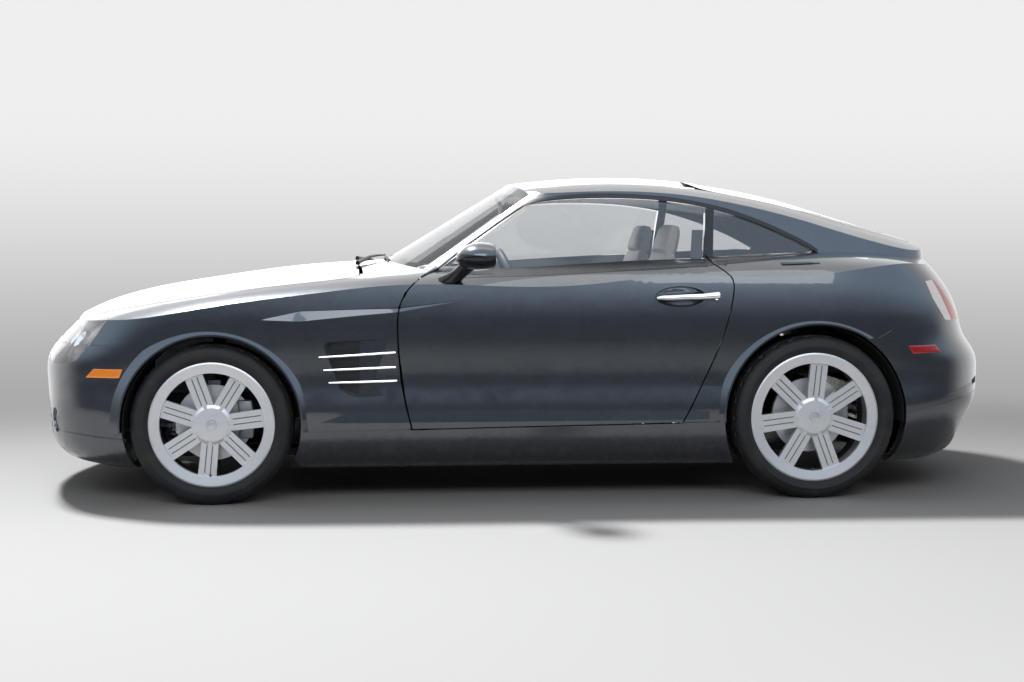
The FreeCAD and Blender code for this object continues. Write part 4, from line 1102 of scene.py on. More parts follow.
@dataclass
class ArchLiner:
    """A black felt-like lining inside one wheel arch, thin and tight to the housing; its near-black also
    stands for painted shade in the arch.
    """

    axle: Axle
    span: Span = (-4.0, 184.0)
    across: Span = (0.570, 0.842)
    clearance: float = 0.0035
    ripple: float = 0.0015

    def build(self, palette: Palette, side: Side) -> bpy.types.Object:
        """Model one lining.

        Args:
            palette: the finishes.
            side: the car's side.

        Returns:
            The lining.
        """
        def place(u: float, v: float) -> Vector:
            angle = math.radians(between(self.span, u))
            reach = self.axle.arch_radius - self.clearance - self.ripple * math.cos(v * math.tau * 3)
            return Vector((self.axle.arch_x + reach * math.cos(angle), side.value * between(self.across, v),
                           self.axle.radius + reach * math.sin(angle)))

        lining = conformed(64, 18, place, (0.0, 0.0, -1.0), 0.002)
        # the lining's near-black is partly painted shade in the arch
        return finish_piece(lining, f"arch_liner_{self.axle.corner(side)}", BODY, Slot.DARK, palette.felt)


@dataclass
class JambSeal:
    """The dark rubber seal in the body behind a door's front shut line; its near-black also stands for painted
    shade in the gap.
    """

    x: Span = (-0.640, -0.430)
    z: Span = (0.322, 0.840)
    y: float = 0.734
    ribs: int = 6
    wave: float = 0.0025

    def build(self, palette: Palette, side: Side) -> bpy.types.Object:
        """Model one side's seal as a thin ribbed strip.

        Args:
            palette: the finishes.
            side: the car's side.

        Returns:
            The seal.
        """
        def place(u: float, v: float) -> Vector:
            wave = self.wave * math.cos(u * math.tau * self.ribs)
            return Vector((between(self.x, u), side.value * (self.y + wave), between(self.z, v)))

        seal = conformed(48, 6, place, side.outward, 0.0015)
        # the seal's near-black is partly painted shade in the shut line
        return finish_piece(seal, f"jamb_seal_{side.label}", BODY, Slot.RUBBER, palette.felt)


@dataclass
class DoorHandle:
    """A bright pull bar with its lock, over the recess in the door."""

    front: Span = (0.490, 0.808)
    rear: Span = (0.738, 0.818)
    lifts: tuple[Span, ...] = (
        (0.0, 0.004), (0.06, 0.014), (0.2, 0.018), (0.5, 0.018), (0.75, 0.018), (0.9, 0.0162), (1.0, 0.0135),
    )

    def build(self, palette: Palette, side: Side) -> bpy.types.Object:
        """Model one door's handle.

        Args:
            palette: the finishes.
            side: the car's side.

        Returns:
            The handle.
        """
        door = BodySurface(f"door_{side.label}")
        line = []
        for share, out in self.lifts:
            x, z = Vector(self.front).lerp(Vector(self.rear), share)
            line.append(tuple(door.beside(x, z, side, out)))
        bar = swept(line, 0.0125, sides=4, tapers=[0.5, 0.8, 0.95, 1.0, 1.05, 1.15, 1.2])
        lock_at = door.beside(self.rear[0] - 0.012, self.rear[1], side, 0.002)
        deselect()
        bpy.ops.mesh.primitive_cylinder_add(vertices=32, radius=0.0145, depth=0.036, location=lock_at,
                                            rotation=(math.pi / 2, 0, 0))
        lock = bpy.context.object
        bpy.ops.object.transform_apply(location=True, rotation=True, scale=True)
        with editing(lock):
            select_faces(lock, lambda f: f.normal.y * side.value > 0.9)
            bpy.ops.mesh.inset(thickness=0.003, depth=-0.001)
        piece = joined([bar, lock])
        name, body = f"door_pull_{side.label}", f"door_{side.label}"
        return finish_piece(piece, name, body, Slot.GRILLE, palette.chrome)


@dataclass
class DoorMirror:
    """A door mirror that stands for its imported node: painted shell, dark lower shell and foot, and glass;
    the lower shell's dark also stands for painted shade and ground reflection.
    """

    centre: Point = (-0.216, 0.936, 0.979)
    radii: Point = (0.096, 0.1055, 0.0535)
    back: float = 0.056
    foot: tuple[Point, ...] = (
        (-0.326, 0.800, 0.872), (-0.306, 0.824, 0.892), (-0.282, 0.856, 0.922), (-0.262, 0.884, 0.950),
    )
    foot_middle: float = -0.290
    foot_stretch: float = 1.35
    rim: float = 0.0085

    def shell(self, side: Side) -> bpy.types.Object:
        """The closed head: an egg with a flat back and a rolled edge round the glass."""
        deselect()
        bpy.ops.mesh.primitive_uv_sphere_add(segments=48, ring_count=24, radius=1.0,
                                             rotation=(0, math.pi / 2, 0))
        head = bpy.context.object
        bpy.ops.object.transform_apply(location=True, rotation=True, scale=True)
        x, y, z = self.centre
        for vertex in head.data.vertices:
            ahead = max(0.0, -vertex.co.x)
            vertex.co = (x + vertex.co.x * self.radii[0], side.value * y + vertex.co.y * self.radii[1],
                         z + vertex.co.z * self.radii[2] - 0.010 * ahead * ahead)
        flat = x + self.back
        with editing(head, selected=True):
            bpy.ops.mesh.bisect(plane_co=(flat, 0, 0), plane_no=(1, 0, 0), clear_outer=True,
                                use_fill=True)
            select_faces(head, lambda f: f.normal.x > 0.9 and f.calc_center_median().x > flat - 0.001)
            bpy.ops.mesh.inset(thickness=0.007, depth=0.0)
            bpy.ops.mesh.inset(thickness=0.001, depth=-0.009)
        return head

    def half(self, head: bpy.types.Object, keep_upper: bool) -> bpy.types.Object:
        """The head's part over or under its split line, as a closed piece."""
        part = copied(head)
        split = (0.0, 0.0, self.centre[2] - 0.020)
        with editing(part, selected=True):
            bpy.ops.mesh.bisect(plane_co=split, plane_no=(0.10, 0.0, 1.0), clear_inner=keep_upper,
                                clear_outer=not keep_upper, use_fill=True)
        return part

    def build(self, palette: Palette, side: Side) -> list[bpy.types.Object]:
        """Model one side's mirror.

        Args:
            palette: the finishes.
            side: the car's side.

        Returns:
            The upper shell, the lower shell with its foot, and the glass.
        """
        body = f"door_{side.label}"
        head = self.shell(side)
        # the head splits at a real seam; the lower half's near-black also stands for painted shade and ground
        # reflection
        upper, lower = self.half(head, True), self.half(head, False)
        line = [(x, side.value * y, z) for x, y, z in self.foot]
        stem = swept(line, 0.024, sides=5, tapers=[1.35, 1.0, 0.92, 1.1])
        for vertex in stem.data.vertices:
            vertex.co.x = self.foot_middle + (vertex.co.x - self.foot_middle) * self.foot_stretch
        lower = joined([lower, stem])
        glass = self.pane(side)
        bpy.data.objects.remove(head)
        pieces = [
            finish_piece(upper, f"mirror_shell_{side.label}", body, Slot.PAINT, palette.paint),
            finish_piece(lower, f"mirror_foot_{side.label}", body, Slot.DARK, palette.gloss_trim),
            finish_piece(glass, f"mirror_glass_{side.label}", body, Slot.GRILLE, palette.chrome, 60.0),
        ]
        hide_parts(f"mirror_{side.label}")
        return pieces

    def pane(self, side: Side) -> bpy.types.Object:
        """The mirror's glass, a thin oval plate set in the shell's back."""
        x, y, z = self.centre
        share = math.sqrt(1.0 - (self.back / self.radii[0]) ** 2)
        deselect()
        bpy.ops.mesh.primitive_circle_add(vertices=48, radius=1.0, fill_type="NGON",
                                          rotation=(0, math.pi / 2, 0))
        plate = bpy.context.object
        bpy.ops.object.transform_apply(location=True, rotation=True, scale=True)
        wide, tall = self.radii[1] * share - self.rim, self.radii[2] * share - self.rim
        for vertex in plate.data.vertices:
            vertex.co = (x + self.back - 0.0075, side.value * y + vertex.co.y * wide, z + vertex.co.z * tall)
        with editing(plate, selected=True):
            bpy.ops.mesh.inset(thickness=0.003, depth=0.0006)
        apply_modifier(plate, "SOLIDIFY", thickness=0.0022, offset=0.0)
        return plate


@dataclass
class WindowTrim:
    """Black rubber round the side windows, and the cover of the middle pillar."""

    upper: tuple[Span, ...] = (
        (-0.392, 0.906), (-0.330, 0.955), (-0.244, 1.023), (-0.116, 1.112), (-0.030, 1.170), (0.020, 1.192),
        (0.090, 1.201), (0.170, 1.208), (0.250, 1.212), (0.340, 1.212), (0.420, 1.210), (0.560, 1.201),
        (0.650, 1.188), (0.735, 1.173), (0.830, 1.150), (0.930, 1.116), (1.010, 1.084), (1.120, 1.034),
        (1.190, 0.996), (1.205, 0.984),
    )
    belt: tuple[Span, ...] = (
        (-0.384, 0.905), (-0.158, 0.917), (0.030, 0.926), (0.253, 0.940), (0.477, 0.953), (0.712, 0.960),
    )
    quarter: tuple[Span, ...] = (
        (0.745, 0.962), (0.928, 0.969), (1.100, 0.978), (1.205, 0.984),
    )
    width: float = 0.017
    pillar_x: float = 0.7370
    pillar_z: Span = (0.968, 1.166)
    pillar_width: float = 0.0335
    pillar_lean: float = 0.0195

    def band(self, surface: BodySurface, line: Sequence[Span], side: Side,
             width: float, rise: float) -> bpy.types.Object:
        """A flat strip along a line in side view.

        Args:
            surface: what the strip sits on.
            line: its lower edge as (x, z) points.
            side: the car's side.
            width: its width up the body.
            rise: how far it stands out.

        Returns:
            The strip.
        """
        def place(u: float, v: float) -> Vector:
            x, z = along(line, u)
            ahead, behind = along(line, u + 0.01), along(line, u - 0.01)
            slope = math.atan2(ahead[1] - behind[1], ahead[0] - behind[0])
            rise_x, rise_z = -math.sin(slope) * width * v, math.cos(slope) * width * v
            return surface.beside(x + rise_x, z + rise_z, side, 0.0006)

        return conformed(max(12, len(line) * 3), 3, place, side.outward, rise, 0.0009)

    def build(self, palette: Palette, side: Side) -> list[bpy.types.Object]:
        """Model one side's window strips and pillar cover.

        Args:
            palette: the finishes.
            side: the car's side.

        Returns:
            The pieces.
        """
        label = side.label
        rail = BodySurface("roof", f"quarter_panel_{label}", f"fender_{label}")
        door = BodySurface(f"door_{label}")
        rear = BodySurface(f"quarter_panel_{label}", "roof")
        pillar = BodySurface("roof", f"quarter_panel_{label}")
        top = self.band(rail, self.upper, side, self.width, 0.0022)
        low = self.band(door, self.belt, side, 0.010, 0.004)
        back = self.band(rear, self.quarter, side, 0.009, 0.003)

        def on_pillar(u: float, v: float) -> Vector:
            x = self.pillar_x + self.pillar_width * u - self.pillar_lean * (1.0 - v)
            return pillar.beside(x, between(self.pillar_z, v), side, 0.0006)

        cover = conformed(4, 16, on_pillar, side.outward, 0.002, 0.0009)
        return [
            finish_piece(top, f"window_rail_{label}", BODY, Slot.DARK, palette.trim),
            finish_piece(low, f"belt_strip_{label}", f"door_{label}", Slot.DARK, palette.trim),
            finish_piece(back, f"quarter_strip_{label}", BODY, Slot.DARK, palette.trim),
            finish_piece(cover, f"pillar_cover_{label}", BODY, Slot.DARK, palette.gloss_trim),
        ]


@dataclass
class MarkerLamp:
    """A side marker lens set on a bumper's side."""

    name: str
    node: str
    corners: tuple[Span, ...]
    colour: str
    lift: float = 0.003

    def build(self, palette: Palette, side: Side) -> bpy.types.Object:
        """Model one marker.

        Args:
            palette: the finishes.
            side: the car's side.

        Returns:
            The lens.
        """
        bumper = BodySurface(self.node)

        def place(u: float, v: float) -> Vector:
            spot = in_quad(self.corners, u, v)
            return bumper.beside(spot.x, spot.y, side, 0.0005)

        piece = conformed(10, 4, place, side.outward, self.lift, 0.0012)
        red = self.colour == "red"
        slot = Slot.RED_LAMP if red else Slot.CLEAR_LAMP
        lens = palette.red_lens if red else palette.amber_lens
        return finish_piece(piece, f"{self.name}_{side.label}", BODY, slot, lens)


@dataclass
class Wiper:
    """A windscreen wiper: tapered arm from its pivot and blade lying on the glass."""

    pivot_y: float
    tip: Span
    name: str

    def build(self, palette: Palette) -> bpy.types.Object:
        """Model the wiper.

        Args:
            palette: the finishes.

        Returns:
            The wiper.
        """
        glass = BodySurface("windscreen", "bonnet", "roof")
        pivot = glass.over(-0.668, self.pivot_y, 0.012)
        arm_end = glass.over(self.tip[0], self.tip[1], 0.020)
        middle = pivot.lerp(arm_end, 0.5) + Vector((0, 0, 0.014))
        line = [tuple(point) for point in (pivot, pivot.lerp(middle, 0.5), middle, arm_end)]
        arm = swept(line, 0.0075, sides=3, tapers=[1.3, 1.0, 0.8, 0.5])
        blade_points = []
        for share in (-0.55, -0.3, 0.0, 0.3, 0.55):
            x = self.tip[0] - 0.02 * share
            y = self.tip[1] + share * 0.50 * (1 if self.tip[1] > self.pivot_y else -1)
            blade_points.append(tuple(glass.over(x, y, 0.010)))
        blade = swept(blade_points, 0.006, sides=2, tapers=[0.6, 1.0, 1.2, 1.0, 0.6])
        piece = joined([arm, blade])
        return finish_piece(piece, self.name, BODY, Slot.DARK, palette.trim)


# Lamps and nose

@dataclass
class LampBowl:
    """A bright reflector bowl with a bulb cap, seen through a lamp's lens."""

    lens: str
    y: float
    z: float
    radius: float
    depth: float = 0.030

    def build(self, palette: Palette, name: str) -> bpy.types.Object:
        """Model the bowl.

        Args:
            palette: the finishes.
            name: the piece's name.

        Returns:
            The bowl.
        """
        found = BodySurface(self.lens).hit((-3.0, self.y, self.z), (1, 0, 0))
        skin, normal = found if found else (Vector((-1.85, self.y, self.z)), Vector((-1, 0, 0)))
        centre = skin - normal * self.depth
        deselect()
        turn = normal.to_track_quat("Z", "Y")
        bpy.ops.mesh.primitive_circle_add(vertices=40, radius=self.radius, fill_type="NGON",
                                          location=(0, 0, 0))
        bowl = bpy.context.object
        with editing(bowl, selected=True):
            for share, drop in ((0.10, -0.004), (0.22, -0.22), (0.26, -0.16), (0.22, -0.06)):
                bpy.ops.mesh.inset(thickness=self.radius * share, depth=self.radius * drop)
            bpy.ops.mesh.inset(thickness=self.radius * 0.02, depth=self.radius * 0.30)
        apply_modifier(bowl, "SOLIDIFY", thickness=0.002, offset=-1.0)
        apply_modifier(bowl, "BEVEL", width=0.001, segments=2, limit_method="ANGLE")
        bowl.data.transform(Matrix.Translation(centre) @ turn.to_matrix().to_4x4())
        return finish_piece(bowl, name, BODY, Slot.CLEAR_LAMP, palette.chrome)


@dataclass
class FogLamp:
    """A round fog lamp in its bezel low in the front bumper."""

    y: float = 0.590
    z: float = 0.316
    radius: float = 0.0425

    def build(self, palette: Palette, side: Side) -> list[bpy.types.Object]:
        """Model one fog lamp.

        Args:
            palette: the finishes.
            side: the car's side.

        Returns:
            The bezel and the lens.
        """
        bumper = BodySurface("front_bumper")
        y = side.value * self.y
        found = bumper.hit((-3.0, y, self.z), (1, 0, 0))
        place, normal = found if found else (Vector((-1.90, y, self.z)), Vector((-1, 0, 0)))
        turn = normal.to_track_quat("Z", "Y").to_matrix().to_4x4()
        deselect()
        bpy.ops.mesh.primitive_torus_add(major_radius=self.radius, minor_radius=0.0055, major_segments=48,
                                         minor_segments=10, location=(0, 0, 0.002))
        bezel = bpy.context.object
        bpy.ops.object.transform_apply(location=True, rotation=True, scale=True)
        bezel.data.transform(Matrix.Translation(place) @ turn)
        deselect()
        bpy.ops.mesh.primitive_uv_sphere_add(segments=40, ring_count=16, radius=self.radius,
                                             location=(0, 0, 0))
        lens = bpy.context.object
        with editing(lens, selected=True):
            bpy.ops.mesh.bisect(plane_co=(0, 0, 0), plane_no=(0, 0, 1), clear_inner=True, use_fill=True)
        lens.data.transform(Matrix.Translation(place) @ turn @ Matrix.Diagonal((1.0, 1.0, 0.24, 1.0)))
        return [
            finish_piece(bezel, f"fog_bezel_{side.label}", BODY, Slot.DARK, palette.trim),
            finish_piece(lens, f"fog_lens_{side.label}", BODY, Slot.CLEAR_LAMP, palette.clear_lens),
        ]


@dataclass
class RearPlate:
    """A blank plate and the handle bar above it, on the tail panel."""

    width: float = 0.52
    height: float = 0.112
    z: float = 0.800

    def build(self, palette: Palette) -> list[bpy.types.Object]:
        """Model the blank plate and its bar.

        Args:
            palette: the finishes.

        Returns:
            The pieces.
        """
        tail = BodySurface("quarter_panel_left", "quarter_panel_right", "tailgate", "rear_bumper",
                           "tail_lamp_left")

        def spot(y: float, z: float, lift: float) -> Vector:
            found = tail.hit((3.0, y, z), (-1, 0, 0))
            place, normal = found if found else (Vector((1.9, y, z)), Vector((1, 0, 0)))
            return place + normal * lift

        def on_tail(u: float, v: float) -> Vector:
            return spot((u - 0.5) * self.width, self.z + (v - 0.5) * self.height, 0.001)

        plate = conformed(8, 4, on_tail, (1.0, 0.0, 0.0), 0.003, 0.001)
        top = self.z + self.height / 2 + 0.020
        line = [tuple(spot(y, top, 0.004)) for y in (-0.30, -0.22, 0.0, 0.22, 0.30)]
        bar = swept(line, 0.010, sides=3, tapers=[0.5, 0.9, 1.0, 0.9, 0.5])
        return [
            finish_piece(plate, "blank_rear_plate", BODY, Slot.DARK, palette.satin),
            finish_piece(bar, "tail_bar", BODY, Slot.GRILLE, palette.chrome),
        ]


# Cabin

@dataclass
class SeatPad:
    """One stuffed pad of a seat: a crowned closed form with raised bolsters and sewn channels."""

    across: float
    line: tuple[Span, ...]
    thickness: Span
    width: Span
    bolster: float = 0.035
    channels: tuple[float, ...] = (0.2, 0.4, 0.6, 0.8)
    seam_at: float = 0.56

    def shape(self, u: float, v: float, w: float) -> Vector:
        """The place of a point given across the pad, along it and through it.

        Args:
            u: across, from minus one to one.
            v: along, from minus one to one.
            w: through, minus one at the back and one at the sitting face.

        Returns:
            The point.
        """
        share = (v + 1.0) / 2.0
        x, z = along(self.line, share)
        ahead, behind = along(self.line, min(1.0, share + 0.04)), along(self.line, max(0.0, share - 0.04))
        slope = math.atan2(ahead[1] - behind[1], ahead[0] - behind[0])
        thick, wide = between(self.thickness, share), between(self.width, share) / 2.0
        crown = (1.0 - abs(u) ** 5) * (1.0 - abs(v) ** 6)
        depth = w * thick / 2.0 * (0.42 + 0.58 * crown)
        if w > 0:
            rise = max(0.0, abs(u) - self.seam_at) / (1.0 - self.seam_at)
            depth += self.bolster * math.sin(math.pi * min(1.0, rise)) * (1.0 - abs(v) ** 4) * w
            seam = math.exp(-((abs(u) - self.seam_at) / 0.035) ** 2)
            if abs(u) < self.seam_at:
                seam = max(seam, *(math.exp(-((share - c) / 0.014) ** 2) * 0.8 for c in self.channels))
            depth -= 0.010 * seam * w
        side_pull = 1.0 - 0.05 * abs(v) ** 3
        normal_x, normal_z = -math.sin(slope), math.cos(slope)
        return Vector((x + normal_x * depth, self.across + u * wide * side_pull, z + normal_z * depth))

    def build(self) -> bpy.types.Object:
        """Model the pad from a subdivided block.

        Returns:
            The pad's mesh object.
        """
        pad = new_cube((0, 0, 0), (2.0, 2.0, 2.0))
        with editing(pad, selected=True):
            bpy.ops.mesh.subdivide(number_cuts=27)
        for vertex in pad.data.vertices:
            u, v, w = vertex.co
            vertex.co = self.shape(u, v, w)
        pad.data.update()
        apply_modifier(pad, "SMOOTH", factor=0.5, iterations=2)
        return pad


@dataclass
class SportSeat:
    """A leather bucket seat with its belt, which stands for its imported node."""

    side: Side
    offset: float = 0.360

    def build(self, palette: Palette) -> list[bpy.types.Object]:
        """Model the seat's pads, plinth and belt.

        Args:
            palette: the finishes.

        Returns:
            The pieces.
        """
        y = self.side.value * self.offset
        label = self.side.label
        cushion = SeatPad(y, ((-0.062, 0.368), (0.10, 0.372), (0.30, 0.360), (0.44, 0.350)),
                          (0.115, 0.125), (0.450, 0.440)).build()
        back = SeatPad(y, ((0.600, 0.985), (0.572, 0.840), (0.540, 0.680), (0.490, 0.440)),
                       (0.085, 0.120), (0.400, 0.448), channels=(0.15, 0.32, 0.49, 0.66, 0.83)).build()
        head = SeatPad(y, ((0.632, 1.098), (0.612, 1.020), (0.598, 0.975)), (0.070, 0.085),
                       (0.235, 0.285), bolster=0.006, channels=(0.5,), seam_at=0.80).build()
        pieces = []
        for name, pad, fill in (("cushion", cushion, 0.8), ("back", back, 0.8), ("head", head, 0.9)):
            made = finish_piece(pad, f"seat_{name}_{label}", BODY, Slot.LEATHER, palette.leather, 60.0)
            pieces.append(made)
        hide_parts(f"seat_{label}")
        pieces.append(self.base(palette, y))
        pieces.append(self.belt(palette))
        return pieces

    def base(self, palette: Palette, y: float) -> bpy.types.Object:
        """The plastic plinth that carries the pads."""
        plinth = rounded_box((0.19, y, 0.2420), (0.42, 0.38, 0.152), 0.012)
        with editing(plinth):
            select_faces(plinth, lambda f: f.normal.z < -0.9)
            bpy.ops.mesh.inset(thickness=0.02, depth=-0.008)
        return finish_piece(plinth, f"seat_plinth_{self.side.label}", BODY, Slot.CABIN, palette.cabin)

    def belt(self, palette: Palette) -> bpy.types.Object:
        """The belt's webbing from the pillar's upper guide to the floor beside the seat."""
        out = self.side.value
        line = [(0.700, out * 0.604, 1.080), (0.690, out * 0.628, 0.960), (0.660, out * 0.650, 0.780),
                (0.640, out * 0.655, 0.560)]

        def place(u: float, v: float) -> Vector:
            spans = [Vector(p) for p in line]
            t = u * (len(spans) - 1)
            i = min(int(t), len(spans) - 2)
            point = spans[i].lerp(spans[i + 1], t - i)
            return point + Vector(((v - 0.5) * 0.046, 0.0, 0.0))

        strap = conformed(24, 2, place, (0.0, -float(out), 0.0), 0.0014)
        return finish_piece(strap, f"seat_belt_{self.side.label}", BODY, Slot.CABIN, palette.belt)


@dataclass
class LuggageCover:
    """The stiff carpeted board over the luggage space, with a raised hem."""

    x: Span = (0.900, 1.620)
    z: Span = (0.926, 0.914)
    half_width: Span = (0.575, 0.500)
    sag: float = 0.006

    def build(self, palette: Palette) -> bpy.types.Object:
        """Model the board.

        Args:
            palette: the finishes.

        Returns:
            The board.
        """
        def place(u: float, v: float) -> Vector:
            across = (v - 0.5) * 2.0
            dip = self.sag * math.sin(math.pi * u) * (1.0 - across * across)
            half = between(self.half_width, u)
            return Vector((between(self.x, u), across * half, between(self.z, u) - dip))

        board = conformed(24, 24, place, (0.0, 0.0, 1.0), 0.005, 0.0015)
        with editing(board):
            select_faces(board, lambda f: f.normal.z > 0.95)
            bpy.ops.mesh.inset(thickness=0.018, depth=-0.0015)
        return finish_piece(board, "luggage_cover", BODY, Slot.CABIN, palette.carpet)


@dataclass
class CabinFittings:
    """What shows through the windows: binnacle, console, gear lever and the inner mirror."""

    def build(self, palette: Palette) -> list[bpy.types.Object]:
        """Model the fittings.

        Args:
            palette: the finishes.

        Returns:
            The pieces.
        """
        return [self.binnacle(palette), self.console(palette), self.inner_mirror(palette)]

    def binnacle(self, palette: Palette) -> bpy.types.Object:
        """The hood over the dials, in front of the steering wheel."""
        hood = rounded_box((-0.345, -0.36, 0.889), (0.20, 0.34, 0.070), 0.020, 4)
        with editing(hood):
            select_faces(hood, lambda f: f.normal.x > 0.9)
            bpy.ops.mesh.inset(thickness=0.008, depth=-0.020)
        return finish_piece(hood, "dial_hood", BODY, Slot.CABIN, palette.cabin)

    def console(self, palette: Palette) -> bpy.types.Object:
        """The tall centre console with a gear lever."""
        shelf = rounded_box((0.10, 0.0, 0.415), (0.62, 0.21, 0.105), 0.022, 4)
        with editing(shelf):
            select_faces(shelf, lambda f: f.normal.z > 0.9)
            bpy.ops.mesh.inset(thickness=0.022, depth=-0.008)
        lever = swept([(0.02, 0.0, 0.455), (0.025, 0.0, 0.50), (0.03, 0.0, 0.56), (0.032, 0.0, 0.60)], 0.016,
                      sides=4, tapers=[1.6, 0.7, 0.8, 1.3])
        return finish_piece(joined([shelf, lever]), "centre_console", BODY, Slot.CABIN, palette.cabin)

    def inner_mirror(self, palette: Palette) -> bpy.types.Object:
        """The rear-view mirror under the windscreen's top edge."""
        head = rounded_box((-0.060, 0.0, 1.165), (0.030, 0.235, 0.062), 0.014, 4)
        stem = swept([(-0.066, 0.0, 1.185), (-0.078, 0.0, 1.205), (-0.092, 0.0, 1.218)], 0.008)
        return finish_piece(joined([head, stem]), "inner_mirror", BODY, Slot.CABIN, palette.cabin)


# Stage, light and camera

@dataclass
class Studio:
    """The pale floor, soft lamps, world and the camera at the photograph's angle."""

    camera_at: Point = (-0.583, -7.158, 1.075)
    yaw: float = 4.502
    pitch: float = -3.917
    lens: float = 56.41

    def build(self, palette: Palette) -> None:
        """Set the stage up."""
        self.floor(palette)
        self.world()
        self.lamps()
        self.camera()

    def floor(self, palette: Palette) -> None:
        """A wide pale floor."""
        deselect()
        bpy.ops.mesh.primitive_circle_add(vertices=96, radius=60.0, fill_type="NGON", location=(0, 0, 0))
        ground = bpy.context.object
        ground.name = "studio_floor"
        ground.data.materials.append(palette.stage)

    def world(self) -> None:
        """A pale backdrop for camera and transmission rays, one for reflections, and a soft even light."""
        world = bpy.data.worlds.new("studio_world")
        bpy.context.scene.world = world
        world.use_nodes = True
        g = Graph.over(world.node_tree)
        paths = g.node("ShaderNodeLightPath")
        seen = Wire(g, paths.outputs["Is Camera Ray"]) + Wire(g, paths.outputs["Is Transmission Ray"])
        mirrored = Wire(g, paths.outputs["Is Glossy Ray"])
        way = g.node("ShaderNodeSeparateXYZ", {}, {"Vector": g.add("ShaderNodeTexCoord", out="Generated")})
        across, up = Wire(g, way.outputs[1]), Wire(g, way.outputs[2])
        ground = g.blend(up.ramped(-0.235, -0.105), (0.88, 0.88, 0.88), (0.38, 0.38, 0.38))
        backdrop = g.blend(up.ramped(-0.125, 0.075), ground, (0.86, 0.86, 0.86))
        sky = g.blend(up.ramped(-0.02, 0.34), (0.13, 0.14, 0.16), (0.98, 1.20, 1.48))
        walls = g.blend(across.ramped(-0.25, 0.35), sky, (0.95, 0.95, 0.96))
        lit = g.add("ShaderNodeBackground", {}, {"Color": (0.93, 0.95, 1.0), "Strength": 0.18})
        in_gloss = g.add("ShaderNodeBackground", {}, {"Color": walls, "Strength": 1.0})
        shown = g.add("ShaderNodeBackground", {}, {"Color": backdrop, "Strength": 1.0})
        first = g.add("ShaderNodeMixShader", {}, {0: mirrored, 1: lit, 2: in_gloss})
        whole = g.add("ShaderNodeMixShader", {}, {0: seen, 1: first, 2: shown})
        g.node("ShaderNodeOutputWorld", {}, {"Surface": whole})

    def lamp(self, name: str, at: Point, aim: Point, size: tuple[float, float], power: float) -> None:
        """A rectangular soft lamp.

        Args:
            name: the lamp's name.
            at: its place.
            aim: the point that it faces.
            size: its two sides.
            power: its power in watts.
        """
        light = bpy.data.lights.new(name, "AREA")
        light.shape = "RECTANGLE"
        light.size, light.size_y = size
        light.energy = power
        lamp = bpy.data.objects.new(name, light)
        lamp.location = at
        lamp.visible_camera = False
        lamp.rotation_euler = (Vector(aim) - Vector(at)).to_track_quat("-Z", "Y").to_euler()
        bpy.context.collection.objects.link(lamp)

    def lamps(self) -> None:
        """A high key from behind the nose, an overhead softbox, a wide one beyond the car and a weak fill."""
        self.lamp("key_softbox", (-3.4, 3.5, 8.4), (0.2, 0.0, 0.4), (1.2, 1.2), 1650.0)
        self.lamp("overhead_softbox", (0.0, 0.4, 5.5), (0.0, 0.0, 0.5), (6.0, 2.0), 40.0)
        self.lamp("far_softbox", (-1.6, 6.5, 2.3), (-1.0, 0.0, 0.8), (11.0, 3.6), 170.0)
        self.lamp("front_fill", (-0.8, -8.0, 5.0), (0.0, 0.0, 0.6), (9.0, 3.0), 215.0)

    def camera(self) -> None:
        """The camera fitted to the photograph."""
        data = bpy.data.cameras.new("photo_camera")
        data.lens = self.lens
        data.sensor_width = 36.0
        data.clip_start, data.clip_end = 0.1, 200.0
        camera = bpy.data.objects.new("photo_camera", data)
        camera.location = self.camera_at
        yaw, pitch = math.radians(self.yaw), math.radians(self.pitch)
        forward = Vector((math.sin(yaw) * math.cos(pitch), math.cos(yaw) * math.cos(pitch), math.sin(pitch)))
        camera.rotation_mode = "QUATERNION"
        camera.rotation_quaternion = forward.to_track_quat("-Z", "Y")
        bpy.context.collection.objects.link(camera)
        bpy.context.scene.camera = camera
        bpy.context.scene.view_settings.view_transform = "Standard"


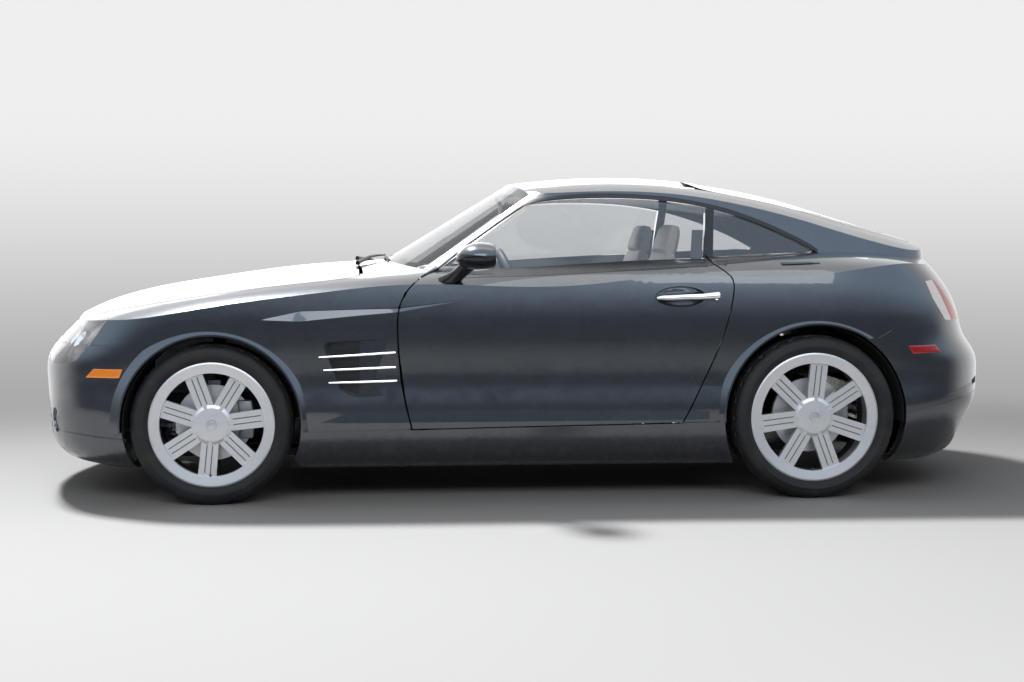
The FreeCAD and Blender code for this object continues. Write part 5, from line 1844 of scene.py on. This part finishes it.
@dataclass
class CoupeCar:
    """The whole car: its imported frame, dressed and fitted with its trim."""

    palette: Palette = field(default_factory=Palette)

    def wheels(self) -> None:
        """Tyres and small wheel fittings at the four corners."""
        for side in Side:
            for axle in AXLES:
                RoadTyre(axle.corner(side), axle.centre(side), axle.radius, axle.width,
                         axle.rim_radius).build(self.palette)
            for axle in AXLES:
                carrier = f"knuckle_{axle.corner(side)}" if axle.end == "front" else BODY
                WheelDetail(axle.corner(side), axle.centre(side), axle.rim_radius, axle.width,
                            carrier).build(self.palette)

    def trim(self) -> None:
        """Vents, handles, window strips, markers and wipers."""
        amber = MarkerLamp("amber_marker", "front_bumper",
                           ((-1.757, 0.503), (-1.620, 0.503), (-1.606, 0.538), (-1.722, 0.538)), "amber")
        red = MarkerLamp("red_marker", "rear_bumper",
                         ((1.536, 0.581), (1.666, 0.585), (1.640, 0.616), (1.514, 0.614)), "red")
        for side in Side:
            SideVent().build(self.palette, side)
            DoorHandle().build(self.palette, side)
            DoorMirror().build(self.palette, side)
            JambSeal().build(self.palette, side)
            WindowTrim().build(self.palette, side)
            amber.build(self.palette, side)
            red.build(self.palette, side)
            FogLamp().build(self.palette, side)
            for name, y, z, radius in (("main", 0.530, 0.668, 0.046), ("dip", 0.628, 0.662, 0.036)):
                bowl = LampBowl(f"headlamp_{side.label}", side.value * y, z, radius)
                bowl.build(self.palette, f"{name}_bowl_{side.label}")
            for axle in AXLES:
                ArchLiner(axle).build(self.palette, side)
            VentMesh().build(self.palette, side)
        RearPlate().build(self.palette)
        Wiper(-0.42, (-0.575, 0.02), "wiper_left").build(self.palette)
        Wiper(0.16, (-0.56, 0.52), "wiper_right").build(self.palette)

    def cabin(self) -> None:
        """Seats and fittings seen through the glass."""
        for side in Side:
            SportSeat(side).build(self.palette)
        CabinFittings().build(self.palette)
        LuggageCover().build(self.palette)

    def build(self) -> None:
        """Dress the frame and build every new piece."""
        dress_frame(self.palette)
        self.wheels()
        self.trim()
        self.cabin()
        Studio().build(self.palette)


def main() -> None:
    """Build the car's looks."""
    logging.basicConfig(level=logging.INFO, format="%(name)s: %(message)s")
    CoupeCar().build()


if __name__ == "__main__":
    main()
